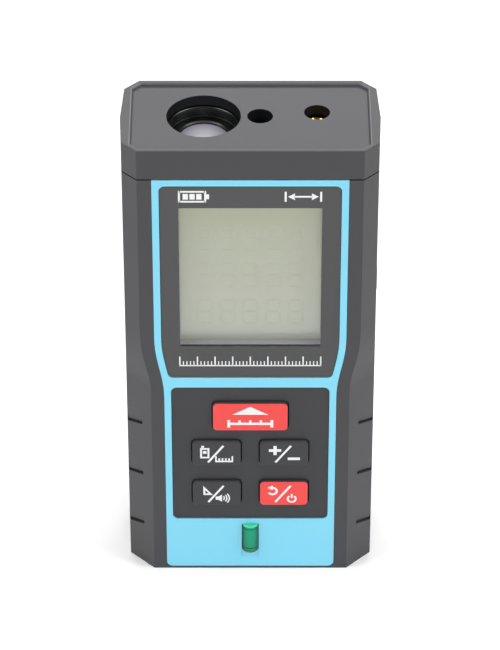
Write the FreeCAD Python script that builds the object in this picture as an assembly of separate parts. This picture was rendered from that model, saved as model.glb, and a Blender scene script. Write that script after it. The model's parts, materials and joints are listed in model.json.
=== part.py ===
"""Pocket laser distance meter, as an assembly of separate pieces.

Millimetres. +Z runs up the casing to the laser end, the display faces -Y and +X is to the
reader's right. The origin is the centre of the bottom end face, at mid depth.
"""
import FreeCAD, Part
import math
import os
from FreeCAD import Vector

# ---- Driving dimensions -------------------------------------------------------------------
HEIGHT = 112.0
WIDTH = 54.0
DEPTH = 26.4
WALL = 1.8
PARTING_Y = -0.65          # the joint between the casing halves, from mid depth
FRONT_DRAFT = 0.57         # how far each side leans in at the front plane
REAR_DRAFT = 0.77
CHAMFER_EDGE = 3.6         # side of the casing to the chamfer's edge on the front plane
GRIP_EDGE = 5.7            # the same, in the wider chamfer of the grip
REAR_EDGE = 3.75
GRIP_CURVE_Z = (50.5, 54.4, 58.25, 66.0)

CAP_HEIGHT = 7.0
CAP_SEAM = 0.25
CAP_PLATE = 2.4
CAP_LIP = 2.5
CAP_LIP_WALL = 1.0
CAP_LIP_GAP = 0.1
CAP_LIP_ROOT = 1.5         # how far the lip's joint reaches up the cap's wall
CAP_LIP_BITE = 0.3
RIM_WIDTH = 1.2
RIM_SIDE = 2.5
RIM_DEPTH = 0.65
RIM_EASE = 0.5             # rounding inside the rim
CAP_BOSS_WALL = 0.6
GASKET_INSET = 0.45
GASKET_WIDTH = 0.9

NOTCH_Z = (37.8, 23.8, 9.7)
NOTCH_RUN = 5.9
NOTCH_DEPTH = 0.45
NOTCH_SLOT = 0.5
NOTCH_SLOT_DEPTH = 0.85
NOTCH_WIDTH = 4.3
NOTCH_RISE = 1.3
NOTCH_OVERRUN = 0.6        # past the chamfer's outer edge

BEZEL_INSET = 6.63          # side of the casing to the blue frame
BEZEL_WAIST = 1.92         # how much narrower the frame is in the grip
BEZEL_WAIST_Z = (48.0, 54.4, 57.6, 64.0)
BEZEL_BAND = 1.45
BEZEL_DEPTH = 1.0
BEZEL_FOOT = 0.6
BEZEL_CORNER = 1.3
FIT_GAP = 0.06             # all round between an inlaid piece and its pocket

WINDOW_Z0 = 53.35
WINDOW_SINK = 0.25
ADHESIVE = 0.1
LCD_VIEW_HALF = 14.95
LCD_VIEW_Z0 = 61.75
LCD_VIEW_TOP_GAP = 5.65     # window's top edge to the viewing area
LCD_MARGIN = 1.3
LCD_SINK = 2.6             # front plane of the casing to the glass
LCD_THICKNESS = 1.4
LCD_RIM = 0.5
VIEW_GAP = 0.2             # adhesive to the viewing area
ADHESIVE_EDGE = 0.3
CONTACT_SIDE = 2.0
CONTACT_TOP_GAP = 0.2
CONTACT_HEIGHT = 1.2
BACKLIGHT_SIDE = 0.5
BACKLIGHT_FOOT = 0.6
BACKLIGHT_TOP_GAP = 1.9
BOARD_SINK = 6.1
BOARD_THICKNESS = 1.0
BOARD_Z0 = 9.0
BOARD_SIDE_GAP = 0.5
BOARD_TOP_GAP = 6.25       # top of the casing halves to the board's edge
USB_TAB = 5.2
CHIP_ROW = (-11.0, 49.2)
CHIP_PITCH = (2.4, 2.2)
CHIP_COLUMNS = 6
SMALL_CHIP = (1.6, 0.8, 0.6)
LARGE_CHIPS = ((-11.0, 42.0, 4.0, 5.0, 1.1), (11.5, 40.0, 4.0, 4.0, 1.0), (11.0, 30.0, 5.0, 3.0, 1.2))
SHIELD = (0.0, 38.0, 16.0, 18.0, 2.4)
SHIELD_SKIN = 0.2
BUZZER_X = -10.0
BUZZER_DROP = 6.0
BUZZER_R = 3.6
BUZZER_HEIGHT = 2.5
BUZZER_HOLE_R = 0.6
BUZZER_HOLE = 1.0

PAD_Z0 = 14.15
PAD_Z1 = 50.85
PAD_SINK = 0.3
PAD_LEDGE = 1.5
PAD_BACK = 1.1
KEY_GAP = 0.2
KEY_PROUD = 0.5
KEY_CORNER = 1.0
KEY_EDGE = 0.3
KEY_FLANGE = 0.8
KEY_FLANGE_GAP = 0.05
KEY_TRAVEL = 0.6
KEY_STEM_R = 1.6
KEY_SIDE = 4.4            # pad's side to the outer columns of keys
KEY_MIDDLE = 2.05          # middle line to the inner ends of the keys
MEASURE_SIDE = 8.9        # pad's side to the measure key
MEASURE_Z = (39.35, 46.8)
SECOND_ROW_Z = (29.65, 36.3)
THIRD_ROW_Z = (18.45, 25.1)
DOME_R = 2.4
DOME_HEIGHT = 0.5
DOME_TOP = 0.55            # as a share of the dome's foot
STEM_GAP = 0.1

VIAL_R = 1.87
VIAL_WALL = 0.4
VIAL_EASE = 0.35
VIAL_Z0 = 5.3
VIAL_Z1 = 12.7
VIAL_END = 0.5
VIAL_PLUG = 1.2
VIAL_POCKET_GAP = 0.08
VIAL_END_GAP = 0.05
VIAL_FOOT_HALF = 2.0
VIAL_FOOT_DEPTH = 0.5
VIAL_FOOT_RUN = 2.8
VIAL_SUNK = 0.6            # axis of the vial behind the front plane
BUBBLE_R = 0.75
BUBBLE_LENGTH = 2.0
BUBBLE_PATH_GAP = 0.2
BUBBLE_DROP = 0.3          # closed end of the bore to the bubble
VIAL_PLUG_SINK = 0.1
CRADLE_WALL = 1.3

OPTIC_BACK = 1.4           # axes of the lens and the cap screw behind the parting joint
RECEIVER_X = -9.68
RECEIVER_R = 7.7
HOOD_BORE_R = 7.2
HOOD_WALL = 1.0
HOOD_HEIGHT = 2.3
LENS_EDGE = 1.8
LENS_DOME = 0.6
LENS_DOME_R = 5.0
RETAINER_HEIGHT = 0.6
BARREL_DEPTH = 7.4         # lens barrel, from its top to the light tunnel
TUNNEL_SHARE = 0.52        # light tunnel, of the way from the lens barrel to the keypad
TUNNEL_HALF = 6.0
TUNNEL_EXIT_R = 1.6
TUNNEL_WALL = 0.9
CARRIER_SIDE = 1.5
CARRIER_FRONT = 0.6
CARRIER_THICKNESS = 1.0
PHOTODIODE_SHARE = 0.6     # of the tunnel's exit
PHOTODIODE_THICKNESS = 0.8
MIDDLE_X = 2.03
MIDDLE_R = 2.63
LASER_X = 13.86
LASER_Y = 2.2
LASER_R = 2.66
LASER_TUBE_R = 2.2
LASER_BORE_R = 1.5
LASER_HOLDER_WALL = 0.8
LASER_HOLDER_LENGTH = 15.5
LASER_SEAT = 3.0           # foot of the holder to the brass tube
LASER_TUBE_SINK = 0.2
LASER_LENS_SINK = 2.6
LASER_LENS_EDGE = 1.2
DIODE_FLANGE_R = 2.8
DIODE_FLANGE = 1.2
DIODE_CAN = 2.6
DIODE_PIN = 4.0
DIODE_PIN_R = 0.22
DIODE_PIN_SPREAD = 1.0
HOOD_GAP = 0.1
LENS_GAP = 0.05
CONE_STEP = 0.8
WEB_HALF = 1.5
DECK_HEIGHT = 4.0
EAR_HEIGHT = 5.0
EAR_THICKNESS = 3.0

SCREW_R = 1.15
SCREW_GAP = 0.02
SCREW_HEAD_R = 2.0
SCREW_HEAD = 1.3
SCREW_CLEARANCE = 0.15
HEAD_CLEARANCE = 0.25
PILOT_SPARE = 0.4          # pilot hole beyond a screw's tip
CROSS_REACH = 0.9          # cross recess, as a share of the shank's radius
CROSS_HALF = 0.2
CROSS_DEPTH = 0.6
BOSS_R = 2.4
BOARD_BOSS_R = 2.0
REAR_BOSS_R = 3.0
BOSS_ROOT = 0.5            # how far a boss starts inside the wall
CASE_SCREW_REACH = 6.0
BOARD_SCREW_REACH = 2.8
OPTICS_SCREW_REACH = 4.5
CAP_SCREW_REACH = 3.0
CAP_SCREW_SEAT = 3.9       # optics block's deck to the seat of the cap screw's head
CASE_SCREW_INSET = 7.0
CASE_SCREW_LOW_Z = 8.5
CASE_SCREW_TOP_GAP = 10.75
COUNTERBORE = 5.0
BOARD_SCREW_X = 14.5
BOARD_SCREW_Z = (11.5, 55.0)
OPTICS_SCREW_DROP = 12.3

BATTERY_THICKNESS = 6.0
BATTERY_HALF = 15.5
BATTERY_Z0 = 14.0
BATTERY_CLEARANCE = 9.0    # light tunnel's end to the cell
STRIP_HEIGHT = 3.0
FOAM = 1.0
RIB = 1.1
RIB_DEPTH = 5.0
BAY_GAP = 0.5
LEAD_GATE = 5.0
CELL_CORNER = 1.0
STRIP_INSET = 1.0
STRIP_SINK = 0.5
LEAD_R = 0.45
LEAD_PITCH = 1.8
PLUG_HALF = 2.8
PLUG_HEIGHT = 3.9
PLUG_DEPTH = 3.0
SOCKET_WALL = 0.3
SOCKET_DEPTH = 4.0
LEAD_X = 6.5
LEAD_RISE = 9.0

PORT_DROP = 28.75          # top of the casing halves to the middle of the charging socket
USB_WIDTH = 7.5
USB_THICKNESS = 2.6
USB_LENGTH = 5.6
USB_SKIN = 0.25
USB_BACK = 1.0
TONGUE_HALF = 0.3
TONGUE_SIDE = 1.4
TONGUE_SINK = 0.8
USB_TAB_SIDE = 1.2
PORT_CLEARANCE = 0.35
DOOR_LENGTH = 12.6
DOOR_GAP = 0.1
DOOR_SEAT = 1.75
DOOR_FRONT_Y = -8.8
DOOR_PIN_Y = -2.75
DOOR_PIN_SINK = 1.05
DOOR_PIN_R = 0.4
DOOR_PIN_GAP = 0.05
DOOR_PIN_REACH = 1.4       # into the casing beyond each end of the door
DOOR_LUG = 1.2
DOOR_PLUG = 0.9
DOOR_PLUG_GAP = (0.25, 0.15)
NAIL_R = 0.8
NAIL_HALF = 2.0
DOOR_BACKING = 2.0
KNUCKLE_R = 0.95
KNUCKLE_CLEAR = 0.25
KNUCKLE_LENGTH = 8.0
PAD_THICKNESS = 1.95

LABEL_HALF = 15.0
LABEL_Z = (30.0, 72.0)
LABEL_THICKNESS = 0.25
LABEL_CORNER = 1.5

# ---- Derived places -----------------------------------------------------------------------
HALF_WIDTH = WIDTH / 2
FRONT_Y = -DEPTH / 2
BACK_Y = DEPTH / 2
CAP_Z = HEIGHT - CAP_HEIGHT
SHELL_TOP = CAP_Z - CAP_SEAM
CAP_FLOOR = HEIGHT - RIM_DEPTH
CAP_UNDER = CAP_FLOOR - CAP_PLATE
ROOT2 = math.sqrt(2.0)
CHAMFER_REACH = (HALF_WIDTH - CHAMFER_EDGE - FRONT_Y) / ROOT2
GRIP_REACH = (HALF_WIDTH - GRIP_EDGE - FRONT_Y) / ROOT2
REAR_REACH = (HALF_WIDTH - REAR_EDGE + BACK_Y) / ROOT2

BEZEL_HALF = HALF_WIDTH - BEZEL_INSET
POCKET_Y = FRONT_Y + BEZEL_DEPTH
INNER_FRONT_Y = FRONT_Y + WALL
WINDOW_Z1 = SHELL_TOP - BEZEL_BAND
LCD_VIEW_Z1 = WINDOW_Z1 - LCD_VIEW_TOP_GAP
LCD_Y = FRONT_Y + LCD_SINK
LCD_BACK_Y = LCD_Y + LCD_THICKNESS
BOARD_Y = FRONT_Y + BOARD_SINK
BOARD_BACK_Y = BOARD_Y + BOARD_THICKNESS
BOARD_Z1 = SHELL_TOP - BOARD_TOP_GAP
CASE_SCREW_X = HALF_WIDTH - CASE_SCREW_INSET
BOARD_HALF = CASE_SCREW_X - BOSS_R - BOARD_SIDE_GAP

PAD_HALF = BEZEL_HALF - BEZEL_WAIST - BEZEL_BAND
PAD_Y = FRONT_Y + PAD_SINK
PAD_BACK_Y = POCKET_Y + PAD_BACK
SMALL_KEY_OUTER = PAD_HALF - KEY_SIDE

VIAL_Y = FRONT_Y + VIAL_SUNK
VIAL_BORE_R = VIAL_R - VIAL_WALL

HOOD_TOP = CAP_UNDER - HOOD_GAP
OPTICS_TOP = HOOD_TOP - HOOD_HEIGHT
LENS_Z = OPTICS_TOP - RETAINER_HEIGHT - LENS_EDGE
BARREL_R = HOOD_BORE_R + HOOD_WALL
BARREL_Z0 = OPTICS_TOP - BARREL_DEPTH
TUNNEL_Z0 = BARREL_Z0 - TUNNEL_SHARE * (BARREL_Z0 - PAD_Z1)
OPTIC_Y = PARTING_Y + OPTIC_BACK
TUNNEL_HALF_Y = OPTIC_Y - BOARD_BACK_Y
DECK_Z1 = BARREL_Z0 + DECK_HEIGHT
LASER_HOLDER_R = LASER_TUBE_R + LASER_HOLDER_WALL
LASER_HOLDER_Z0 = BARREL_Z0 - LASER_HOLDER_LENGTH
OPTICS_SCREW_Z = BARREL_Z0 - OPTICS_SCREW_DROP

BATTERY_Z1 = TUNNEL_Z0 - BATTERY_CLEARANCE - STRIP_HEIGHT
BATTERY_BACK_Y = BACK_Y - WALL - FOAM
BATTERY_Y = BATTERY_BACK_Y - BATTERY_THICKNESS
LEAD_Z = BATTERY_Z1 + LEAD_RISE
LEAD_Y = BATTERY_Y + BATTERY_THICKNESS / 2

PORT_Z = SHELL_TOP - PORT_DROP
PORT_Y = BOARD_BACK_Y + USB_THICKNESS / 2
DOOR_FLOOR_X = HALF_WIDTH - DOOR_SEAT
DOOR_PIN_X = HALF_WIDTH - DOOR_PIN_SINK
PAD_X = DOOR_FLOOR_X - PAD_THICKNESS
BEYOND = 5.0               # how far a cutter runs past what it cuts


# ---- Plain shapes -------------------------------------------------------------------------
def box(x0, x1, y0, y1, z0, z1):
    return Part.makeBox(x1 - x0, y1 - y0, z1 - z0, Vector(x0, y0, z0))


def rod_y(radius, y0, y1, x, z):
    return Part.makeCylinder(radius, y1 - y0, Vector(x, y0, z), Vector(0, 1, 0))


def rod_z(radius, z0, z1, x, y):
    return Part.makeCylinder(radius, z1 - z0, Vector(x, y, z0))


def tube_z(outer, inner, z0, z1, x, y):
    return rod_z(outer, z0, z1, x, y).cut(rod_z(inner, z0 - 1, z1 + 1, x, y))


def cone_z(radius0, radius1, z0, z1, x, y):
    return Part.makeCone(radius0, radius1, z1 - z0, Vector(x, y, z0))


def prism(points, direction):
    corners = [Vector(*point) for point in points]
    face = Part.Face(Part.makePolygon(corners + corners[:1]))
    return face.extrude(Vector(*direction))


def fuse(first, *others):
    return first.multiFuse(list(others)).removeSplitter()


def one_solid(shape):
    """The largest solid of a boolean's result."""
    return max(shape.Solids, key=lambda solid: solid.Volume)


def round_y_edges(shape, radius, z_level=None):
    """Rounds the edges that run along Y, all of them or those at one height."""
    chosen = []
    for edge in shape.Edges:
        ends = [vertex.Point for vertex in edge.Vertexes]
        if len(ends) != 2:
            continue
        along_y = abs(ends[0].x - ends[1].x) < 1e-4 and abs(ends[0].z - ends[1].z) < 1e-4
        if along_y and (z_level is None or abs(ends[0].z - z_level) < 1e-4):
            chosen.append(edge)
    return shape.makeFillet(radius, chosen)


def rounded_block(x0, x1, y0, y1, z0, z1, radius):
    return round_y_edges(box(x0, x1, y0, y1, z0, z1), radius)


def mirrored(shape):
    return shape.mirror(Vector(0, 0, 0), Vector(1, 0, 0))


# ---- The casing's outer form --------------------------------------------------------------
def curve_edge(ends, heights, y):
    """A curve in a plane of constant Y that leaves both ends upright."""
    low, top = ends
    places = [(low, heights[0]), (low, heights[1]), (top, heights[2]), (top, heights[3])]
    curve = Part.BezierCurve()
    curve.setPoles([Vector(across, y, up) for across, up in places])
    return curve.toShape()


def corner_cutter(reach_low, reach_top, angle):
    """Takes off one long corner. The reach is the chamfer's distance from the Z axis."""
    far = reach_top + 4 * BEYOND
    span = WIDTH
    z_low = -BEYOND
    z_top = HEIGHT + BEYOND
    if reach_low == reach_top:
        edges = [Part.makeLine((reach_low, -span, z_low), (reach_top, -span, z_top))]
    else:
        z = GRIP_CURVE_Z
        edges = [
            Part.makeLine((reach_low, -span, z_low), (reach_low, -span, z[0])),
            curve_edge((reach_low, reach_top), z, -span),
            Part.makeLine((reach_top, -span, z[3]), (reach_top, -span, z_top)),
        ]
    edges += [
        Part.makeLine((reach_top, -span, z_top), (far, -span, z_top)),
        Part.makeLine((far, -span, z_top), (far, -span, z_low)),
        Part.makeLine((far, -span, z_low), (reach_low, -span, z_low)),
    ]
    cutter = Part.Face(Part.Wire(edges)).extrude(Vector(0, 2 * span, 0))
    cutter.rotate(Vector(0, 0, 0), Vector(0, 0, 1), angle)
    return cutter


def body_form(inset, z0, z1):
    """The eight-sided form of the casing, drawn in by inset all round."""
    half = HALF_WIDTH - inset
    front = FRONT_Y + inset
    back = BACK_Y - inset
    outline = [
        (-half, PARTING_Y, z0),
        (-(half - FRONT_DRAFT), front, z0),
        (half - FRONT_DRAFT, front, z0),
        (half, PARTING_Y, z0),
        (half - REAR_DRAFT, back, z0),
        (-(half - REAR_DRAFT), back, z0),
    ]
    form = prism(outline, (0, 0, z1 - z0))
    for angle in (-45, -135):
        form = form.cut(corner_cutter(GRIP_REACH - inset, CHAMFER_REACH - inset, angle))
    for angle in (45, 135):
        form = form.cut(corner_cutter(REAR_REACH - inset, REAR_REACH - inset, angle))
    return form


def front_side():
    return box(-WIDTH, WIDTH, -DEPTH, PARTING_Y, -BEYOND, HEIGHT + BEYOND)


def rear_side():
    return box(-WIDTH, WIDTH, PARTING_Y, DEPTH, -BEYOND, HEIGHT + BEYOND)


def waisted_panel(margin, z0, z1, y0, y1, radius_low, radius_top):
    """A panel with the blue frame's waisted outline, drawn in by margin at the sides."""
    low = BEZEL_HALF - BEZEL_WAIST - margin
    top = BEZEL_HALF - margin
    z = BEZEL_WAIST_Z
    z_low = -BEYOND
    z_top = HEIGHT
    left_curve = curve_edge((-low, -top), z, y0)
    edges = [
        Part.makeLine((-low, y0, z_low), (low, y0, z_low)),
        Part.makeLine((low, y0, z_low), (low, y0, z[0])),
        curve_edge((low, top), z, y0),
        Part.makeLine((top, y0, z[3]), (top, y0, z_top)),
        Part.makeLine((top, y0, z_top), (-top, y0, z_top)),
        Part.makeLine((-top, y0, z_top), (-top, y0, z[3])),
        left_curve,
        Part.makeLine((-low, y0, z[0]), (-low, y0, z_low)),
    ]
    strip = Part.Face(Part.Wire(edges)).extrude(Vector(0, y1 - y0, 0))
    panel = one_solid(strip.common(box(-WIDTH, WIDTH, y0, y1, z0, z1)))
    if radius_low:
        panel = round_y_edges(panel, radius_low, z0)
    if radius_top:
        panel = round_y_edges(panel, radius_top, z1)
    return panel


# ---- Screws and their bosses --------------------------------------------------------------
def screw(x, seat, z, tip, head=1):
    """A pan head screw along Y. It goes from its seat to its tip, head on the other side."""
    y0, y1 = sorted((seat, tip))
    shank = rod_y(SCREW_R, y0, y1, x, z)
    h0, h1 = sorted((seat, seat + head * SCREW_HEAD))
    top = rod_y(SCREW_HEAD_R, h0, h1, x, z)
    slot = SCREW_R * CROSS_REACH
    outer = seat + head * SCREW_HEAD
    c0, c1 = sorted((outer - head * CROSS_DEPTH, outer + head))
    cross = box(x - slot, x + slot, c0, c1, z - CROSS_HALF, z + CROSS_HALF)
    cross = cross.fuse(box(x - CROSS_HALF, x + CROSS_HALF, c0, c1, z - slot, z + slot))
    return fuse(shank, top).cut(cross)


def case_screw_places():
    low = CASE_SCREW_LOW_Z
    top = SHELL_TOP - CASE_SCREW_TOP_GAP
    return [(side * CASE_SCREW_X, z) for side in (-1, 1) for z in (low, top)]


def board_screw_places():
    return [(side * BOARD_SCREW_X, z) for side in (-1, 1) for z in BOARD_SCREW_Z]


def optics_screw_places():
    return [(side * CASE_SCREW_X, OPTICS_SCREW_Z) for side in (-1, 1)]


# ---- Casing -------------------------------------------------------------------------------
def notch_cutters():
    """Three wedges a side that deepen downwards to a narrow slot, for the fingers."""
    reach = GRIP_REACH
    corner_y = FRONT_Y + GRIP_EDGE - FRONT_DRAFT
    outer_t = (HALF_WIDTH - FRONT_DRAFT + corner_y) / ROOT2 + NOTCH_OVERRUN
    inner_t = outer_t - NOTCH_WIDTH - NOTCH_OVERRUN
    run = outer_t - inner_t
    slope = NOTCH_RISE / NOTCH_WIDTH
    way = (0, run, -slope * run)
    cutters = []
    for ledge in NOTCH_Z:
        z = ledge + NOTCH_RISE
        wedge = prism([(reach + 2, inner_t, z), (reach - NOTCH_DEPTH, inner_t, z),
                       (reach + 0.02, inner_t, z + NOTCH_RUN), (reach + 2, inner_t, z + NOTCH_RUN)], way)
        slot = prism([(reach + 2, inner_t, z), (reach - NOTCH_SLOT_DEPTH, inner_t, z),
                      (reach - NOTCH_SLOT_DEPTH, inner_t, z + NOTCH_SLOT),
                      (reach + 2, inner_t, z + NOTCH_SLOT)], way)
        for cutter in (wedge, slot):
            cutter.rotate(Vector(0, 0, 0), Vector(0, 0, 1), -45)
            cutters += [cutter, mirrored(cutter)]
    return cutters


def door_pocket():
    """Space for the port door, its knuckle and its pin in the right side of the casing."""
    z0 = PORT_Z - DOOR_LENGTH / 2 - DOOR_GAP
    z1 = PORT_Z + DOOR_LENGTH / 2 + DOOR_GAP
    clear = KNUCKLE_R + KNUCKLE_CLEAR
    out = HALF_WIDTH + BEYOND
    seat = box(DOOR_FLOOR_X, out, DOOR_FRONT_Y - DOOR_GAP, DOOR_PIN_Y, z0, z1)
    turn = rod_z(clear, z0, z1, DOOR_PIN_X, DOOR_PIN_Y)
    mouth = box(DOOR_PIN_X, out, DOOR_PIN_Y, DOOR_PIN_Y + clear, z0, z1)
    pin = rod_z(DOOR_PIN_R, z0 - DOOR_PIN_REACH - DOOR_GAP, z1 + DOOR_PIN_REACH + DOOR_GAP,
                DOOR_PIN_X, DOOR_PIN_Y)
    nail = rod_z(NAIL_R, PORT_Z - NAIL_HALF, PORT_Z + NAIL_HALF, HALF_WIDTH - FRONT_DRAFT / 2,
                 DOOR_FRONT_Y - NAIL_R / 2)
    hole_y = USB_THICKNESS / 2 + PORT_CLEARANCE
    hole_z = USB_WIDTH / 2 + PORT_CLEARANCE
    hole = box(PAD_X - 1, DOOR_FLOOR_X + 1, PORT_Y - hole_y, PORT_Y + hole_y,
               PORT_Z - hole_z, PORT_Z + hole_z)
    return [seat, turn, mouth, pin, nail, hole]


def door_backing():
    """A thicker place in the side wall behind the port door."""
    half = DOOR_LENGTH / 2 + DOOR_BACKING
    return box(PAD_X, HALF_WIDTH - WALL, DOOR_FRONT_Y - 1.0, PARTING_Y, PORT_Z - half, PORT_Z + half)


def vial_pocket():
    """A round-bottomed pocket with a soft lower end, for the vial."""
    radius = VIAL_R + VIAL_POCKET_GAP
    bed = rod_z(VIAL_R + FIT_GAP, VIAL_Z0, VIAL_Z1, 0, VIAL_Y)
    mouth = rod_z(radius, VIAL_Z0 - VIAL_END_GAP, VIAL_Z1 + VIAL_END_GAP, 0, VIAL_Y)
    front = box(-WIDTH, WIDTH, -DEPTH, POCKET_Y, -BEYOND, HEIGHT)
    top = VIAL_Z0 - VIAL_END_GAP
    ramp = prism([(-VIAL_FOOT_HALF, FRONT_Y - 1, top), (-VIAL_FOOT_HALF, FRONT_Y + VIAL_FOOT_DEPTH, top),
                  (-VIAL_FOOT_HALF, FRONT_Y, top - VIAL_FOOT_RUN),
                  (-VIAL_FOOT_HALF, FRONT_Y - 1, top - VIAL_FOOT_RUN)], (2 * VIAL_FOOT_HALF, 0, 0))
    return fuse(bed, one_solid(mouth.common(front)), ramp)


def vial_cradle():
    half = VIAL_R + CRADLE_WALL
    back = VIAL_Y + VIAL_R + CRADLE_WALL
    return box(-half, half, POCKET_Y, back, VIAL_Z0 - CRADLE_WALL, VIAL_Z1 + CRADLE_WALL)


def lcd_rim():
    """Raised frame inside the front wall that the display glass lies against."""
    edge = LCD_MARGIN + LCD_RIM
    return box(-LCD_VIEW_HALF - edge, LCD_VIEW_HALF + edge, POCKET_Y, LCD_Y,
               LCD_VIEW_Z0 - edge, LCD_VIEW_Z1 + edge)


def pad_opening():
    half = PAD_HALF - PAD_LEDGE
    return box(-half, half, FRONT_Y - 1, PAD_BACK_Y + 1, PAD_Z0 + PAD_LEDGE, PAD_Z1 - PAD_LEDGE)


def front_shell():
    shell = body_form(0, 0, SHELL_TOP).common(front_side())
    hollow = body_form(WALL, WALL, SHELL_TOP + 1).common(front_side())
    shell = shell.cut(hollow)
    root = INNER_FRONT_Y - BOSS_ROOT
    case_bosses = [rod_y(BOSS_R, root, PARTING_Y, x, z) for x, z in case_screw_places()]
    board_bosses = [rod_y(BOARD_BOSS_R, root, BOARD_Y, x, z) for x, z in board_screw_places()]
    optics_bosses = [rod_y(BOSS_R, root, PARTING_Y - EAR_THICKNESS, x, z)
                     for x, z in optics_screw_places()]
    added = case_bosses + board_bosses + optics_bosses
    added += [lcd_rim(), vial_cradle(), door_backing()]
    within = body_form(WALL / 2, 0, SHELL_TOP)
    shell = fuse(shell, *[piece.common(within) for piece in added])
    pocket = waisted_panel(-FIT_GAP, BEZEL_FOOT - FIT_GAP, SHELL_TOP + 1, FRONT_Y - 1, POCKET_Y,
                           BEZEL_CORNER, 0)
    view = box(-LCD_VIEW_HALF, LCD_VIEW_HALF, FRONT_Y - 1, LCD_Y + 1, LCD_VIEW_Z0, LCD_VIEW_Z1)
    cuts = [pocket, view, pad_opening(), vial_pocket()]
    pilot = SCREW_R + SCREW_GAP
    case_tip = PARTING_Y - CASE_SCREW_REACH - PILOT_SPARE
    board_tip = BOARD_Y - BOARD_SCREW_REACH - PILOT_SPARE
    optics_tip = PARTING_Y - EAR_THICKNESS - OPTICS_SCREW_REACH - PILOT_SPARE
    cuts += [rod_y(pilot, case_tip, PARTING_Y + 1, x, z) for x, z in case_screw_places()]
    cuts += [rod_y(pilot, board_tip, BOARD_Y + 1, x, z) for x, z in board_screw_places()]
    cuts += [rod_y(pilot, optics_tip, PARTING_Y, x, z) for x, z in optics_screw_places()]
    cuts += notch_cutters() + door_pocket()
    return one_solid(shell.cut(cuts))


def battery_bay():
    """Ribs on the rear casing that hold the cell in place."""
    y0 = BACK_Y - WALL - RIB_DEPTH
    y1 = BACK_Y - WALL / 2
    gap = BAY_GAP
    half = BATTERY_HALF + gap
    low = BATTERY_Z0 - gap
    top = BATTERY_Z1 + gap
    outer = box(-half - RIB, half + RIB, y0, y1, low - RIB, top + RIB)
    inner = box(-half, half, y0 - 1, BACK_Y - WALL, low, top)
    lead_gate = box(LEAD_X - PLUG_HALF, LEAD_X + PLUG_HALF, y0 - 1, BACK_Y - WALL,
                    top - 1, top + LEAD_GATE)
    return outer.cut(inner).cut(lead_gate)


def label_recess():
    return rounded_block(-LABEL_HALF - FIT_GAP, LABEL_HALF + FIT_GAP, BACK_Y - LABEL_THICKNESS, BACK_Y + 1,
                         LABEL_Z[0] - FIT_GAP, LABEL_Z[1] + FIT_GAP, LABEL_CORNER)


def rear_shell():
    shell = body_form(0, 0, SHELL_TOP).common(rear_side())
    hollow = body_form(WALL, WALL, SHELL_TOP + 1).common(rear_side())
    shell = shell.cut(hollow)
    bosses = [rod_y(REAR_BOSS_R, PARTING_Y, BACK_Y - WALL / 2, x, z) for x, z in case_screw_places()]
    within = body_form(WALL / 2, 0, SHELL_TOP)
    shell = fuse(shell, *[piece.common(within) for piece in bosses + [battery_bay()]])
    cuts = [label_recess()]
    for x, z in case_screw_places():
        cuts.append(rod_y(SCREW_R + SCREW_CLEARANCE, PARTING_Y - 1, BACK_Y, x, z))
        cuts.append(rod_y(SCREW_HEAD_R + HEAD_CLEARANCE, BACK_Y - COUNTERBORE, BACK_Y + 1, x, z))
    return one_solid(shell.cut(cuts))


def rear_label():
    return rounded_block(-LABEL_HALF, LABEL_HALF, BACK_Y - LABEL_THICKNESS, BACK_Y,
                         LABEL_Z[0], LABEL_Z[1], LABEL_CORNER - FIT_GAP)


def cap_screw_floor():
    """Height of the seat that the cap screw's head rests on."""
    return DECK_Z1 + CAP_SCREW_SEAT


def ease_rim(cap):
    """Rounds the top edge of the wall round the sunk top."""
    inner_x = HALF_WIDTH - RIM_SIDE / 2
    inner_y = DEPTH / 2 - RIM_WIDTH / 2
    rim = [edge for edge in cap.Edges
           if all(abs(v.Z - HEIGHT) < 1e-4 and abs(v.X) < inner_x and abs(v.Y) < inner_y
                  for v in edge.Vertexes)]
    return cap.makeFillet(RIM_EASE, rim)


def top_cap():
    cap = body_form(0, CAP_Z, HEIGHT)
    cap = cap.cut(body_form(WALL, CAP_Z - 1, CAP_UNDER))
    outer = WALL + CAP_LIP_GAP
    root = CAP_Z + CAP_LIP_ROOT
    within = body_form(outer + CAP_LIP_WALL, CAP_Z - CAP_LIP - 1, root + 1)
    lip = body_form(outer, CAP_Z - CAP_LIP, root).cut(within)
    joint = body_form(WALL - CAP_LIP_BITE, CAP_Z, root).cut(within)
    boss = rod_z(MIDDLE_R + CAP_BOSS_WALL, DECK_Z1, CAP_UNDER + 0.5, MIDDLE_X, OPTIC_Y)
    cap = fuse(cap, lip, joint, boss)
    tray = body_form(RIM_WIDTH, CAP_FLOOR, HEIGHT + 1)
    side = HALF_WIDTH - RIM_SIDE
    tray = tray.common(box(-side, side, -DEPTH, DEPTH, 0, HEIGHT + 2))
    cuts = [
        tray,
        rod_z(RECEIVER_R, CAP_UNDER - 1, HEIGHT + 1, RECEIVER_X, OPTIC_Y),
        rod_z(MIDDLE_R, cap_screw_floor(), HEIGHT + 1, MIDDLE_X, OPTIC_Y),
        rod_z(SCREW_R + SCREW_CLEARANCE, CAP_Z - 5, HEIGHT, MIDDLE_X, OPTIC_Y),
        rod_z(LASER_R, CAP_UNDER - 1, HEIGHT + 1, LASER_X, LASER_Y),
    ]
    return one_solid(ease_rim(cap.cut(cuts)))


def cap_gasket():
    ring = body_form(GASKET_INSET, SHELL_TOP, CAP_Z)
    return ring.cut(body_form(GASKET_INSET + GASKET_WIDTH, SHELL_TOP - 1, CAP_Z + 1))


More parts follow.
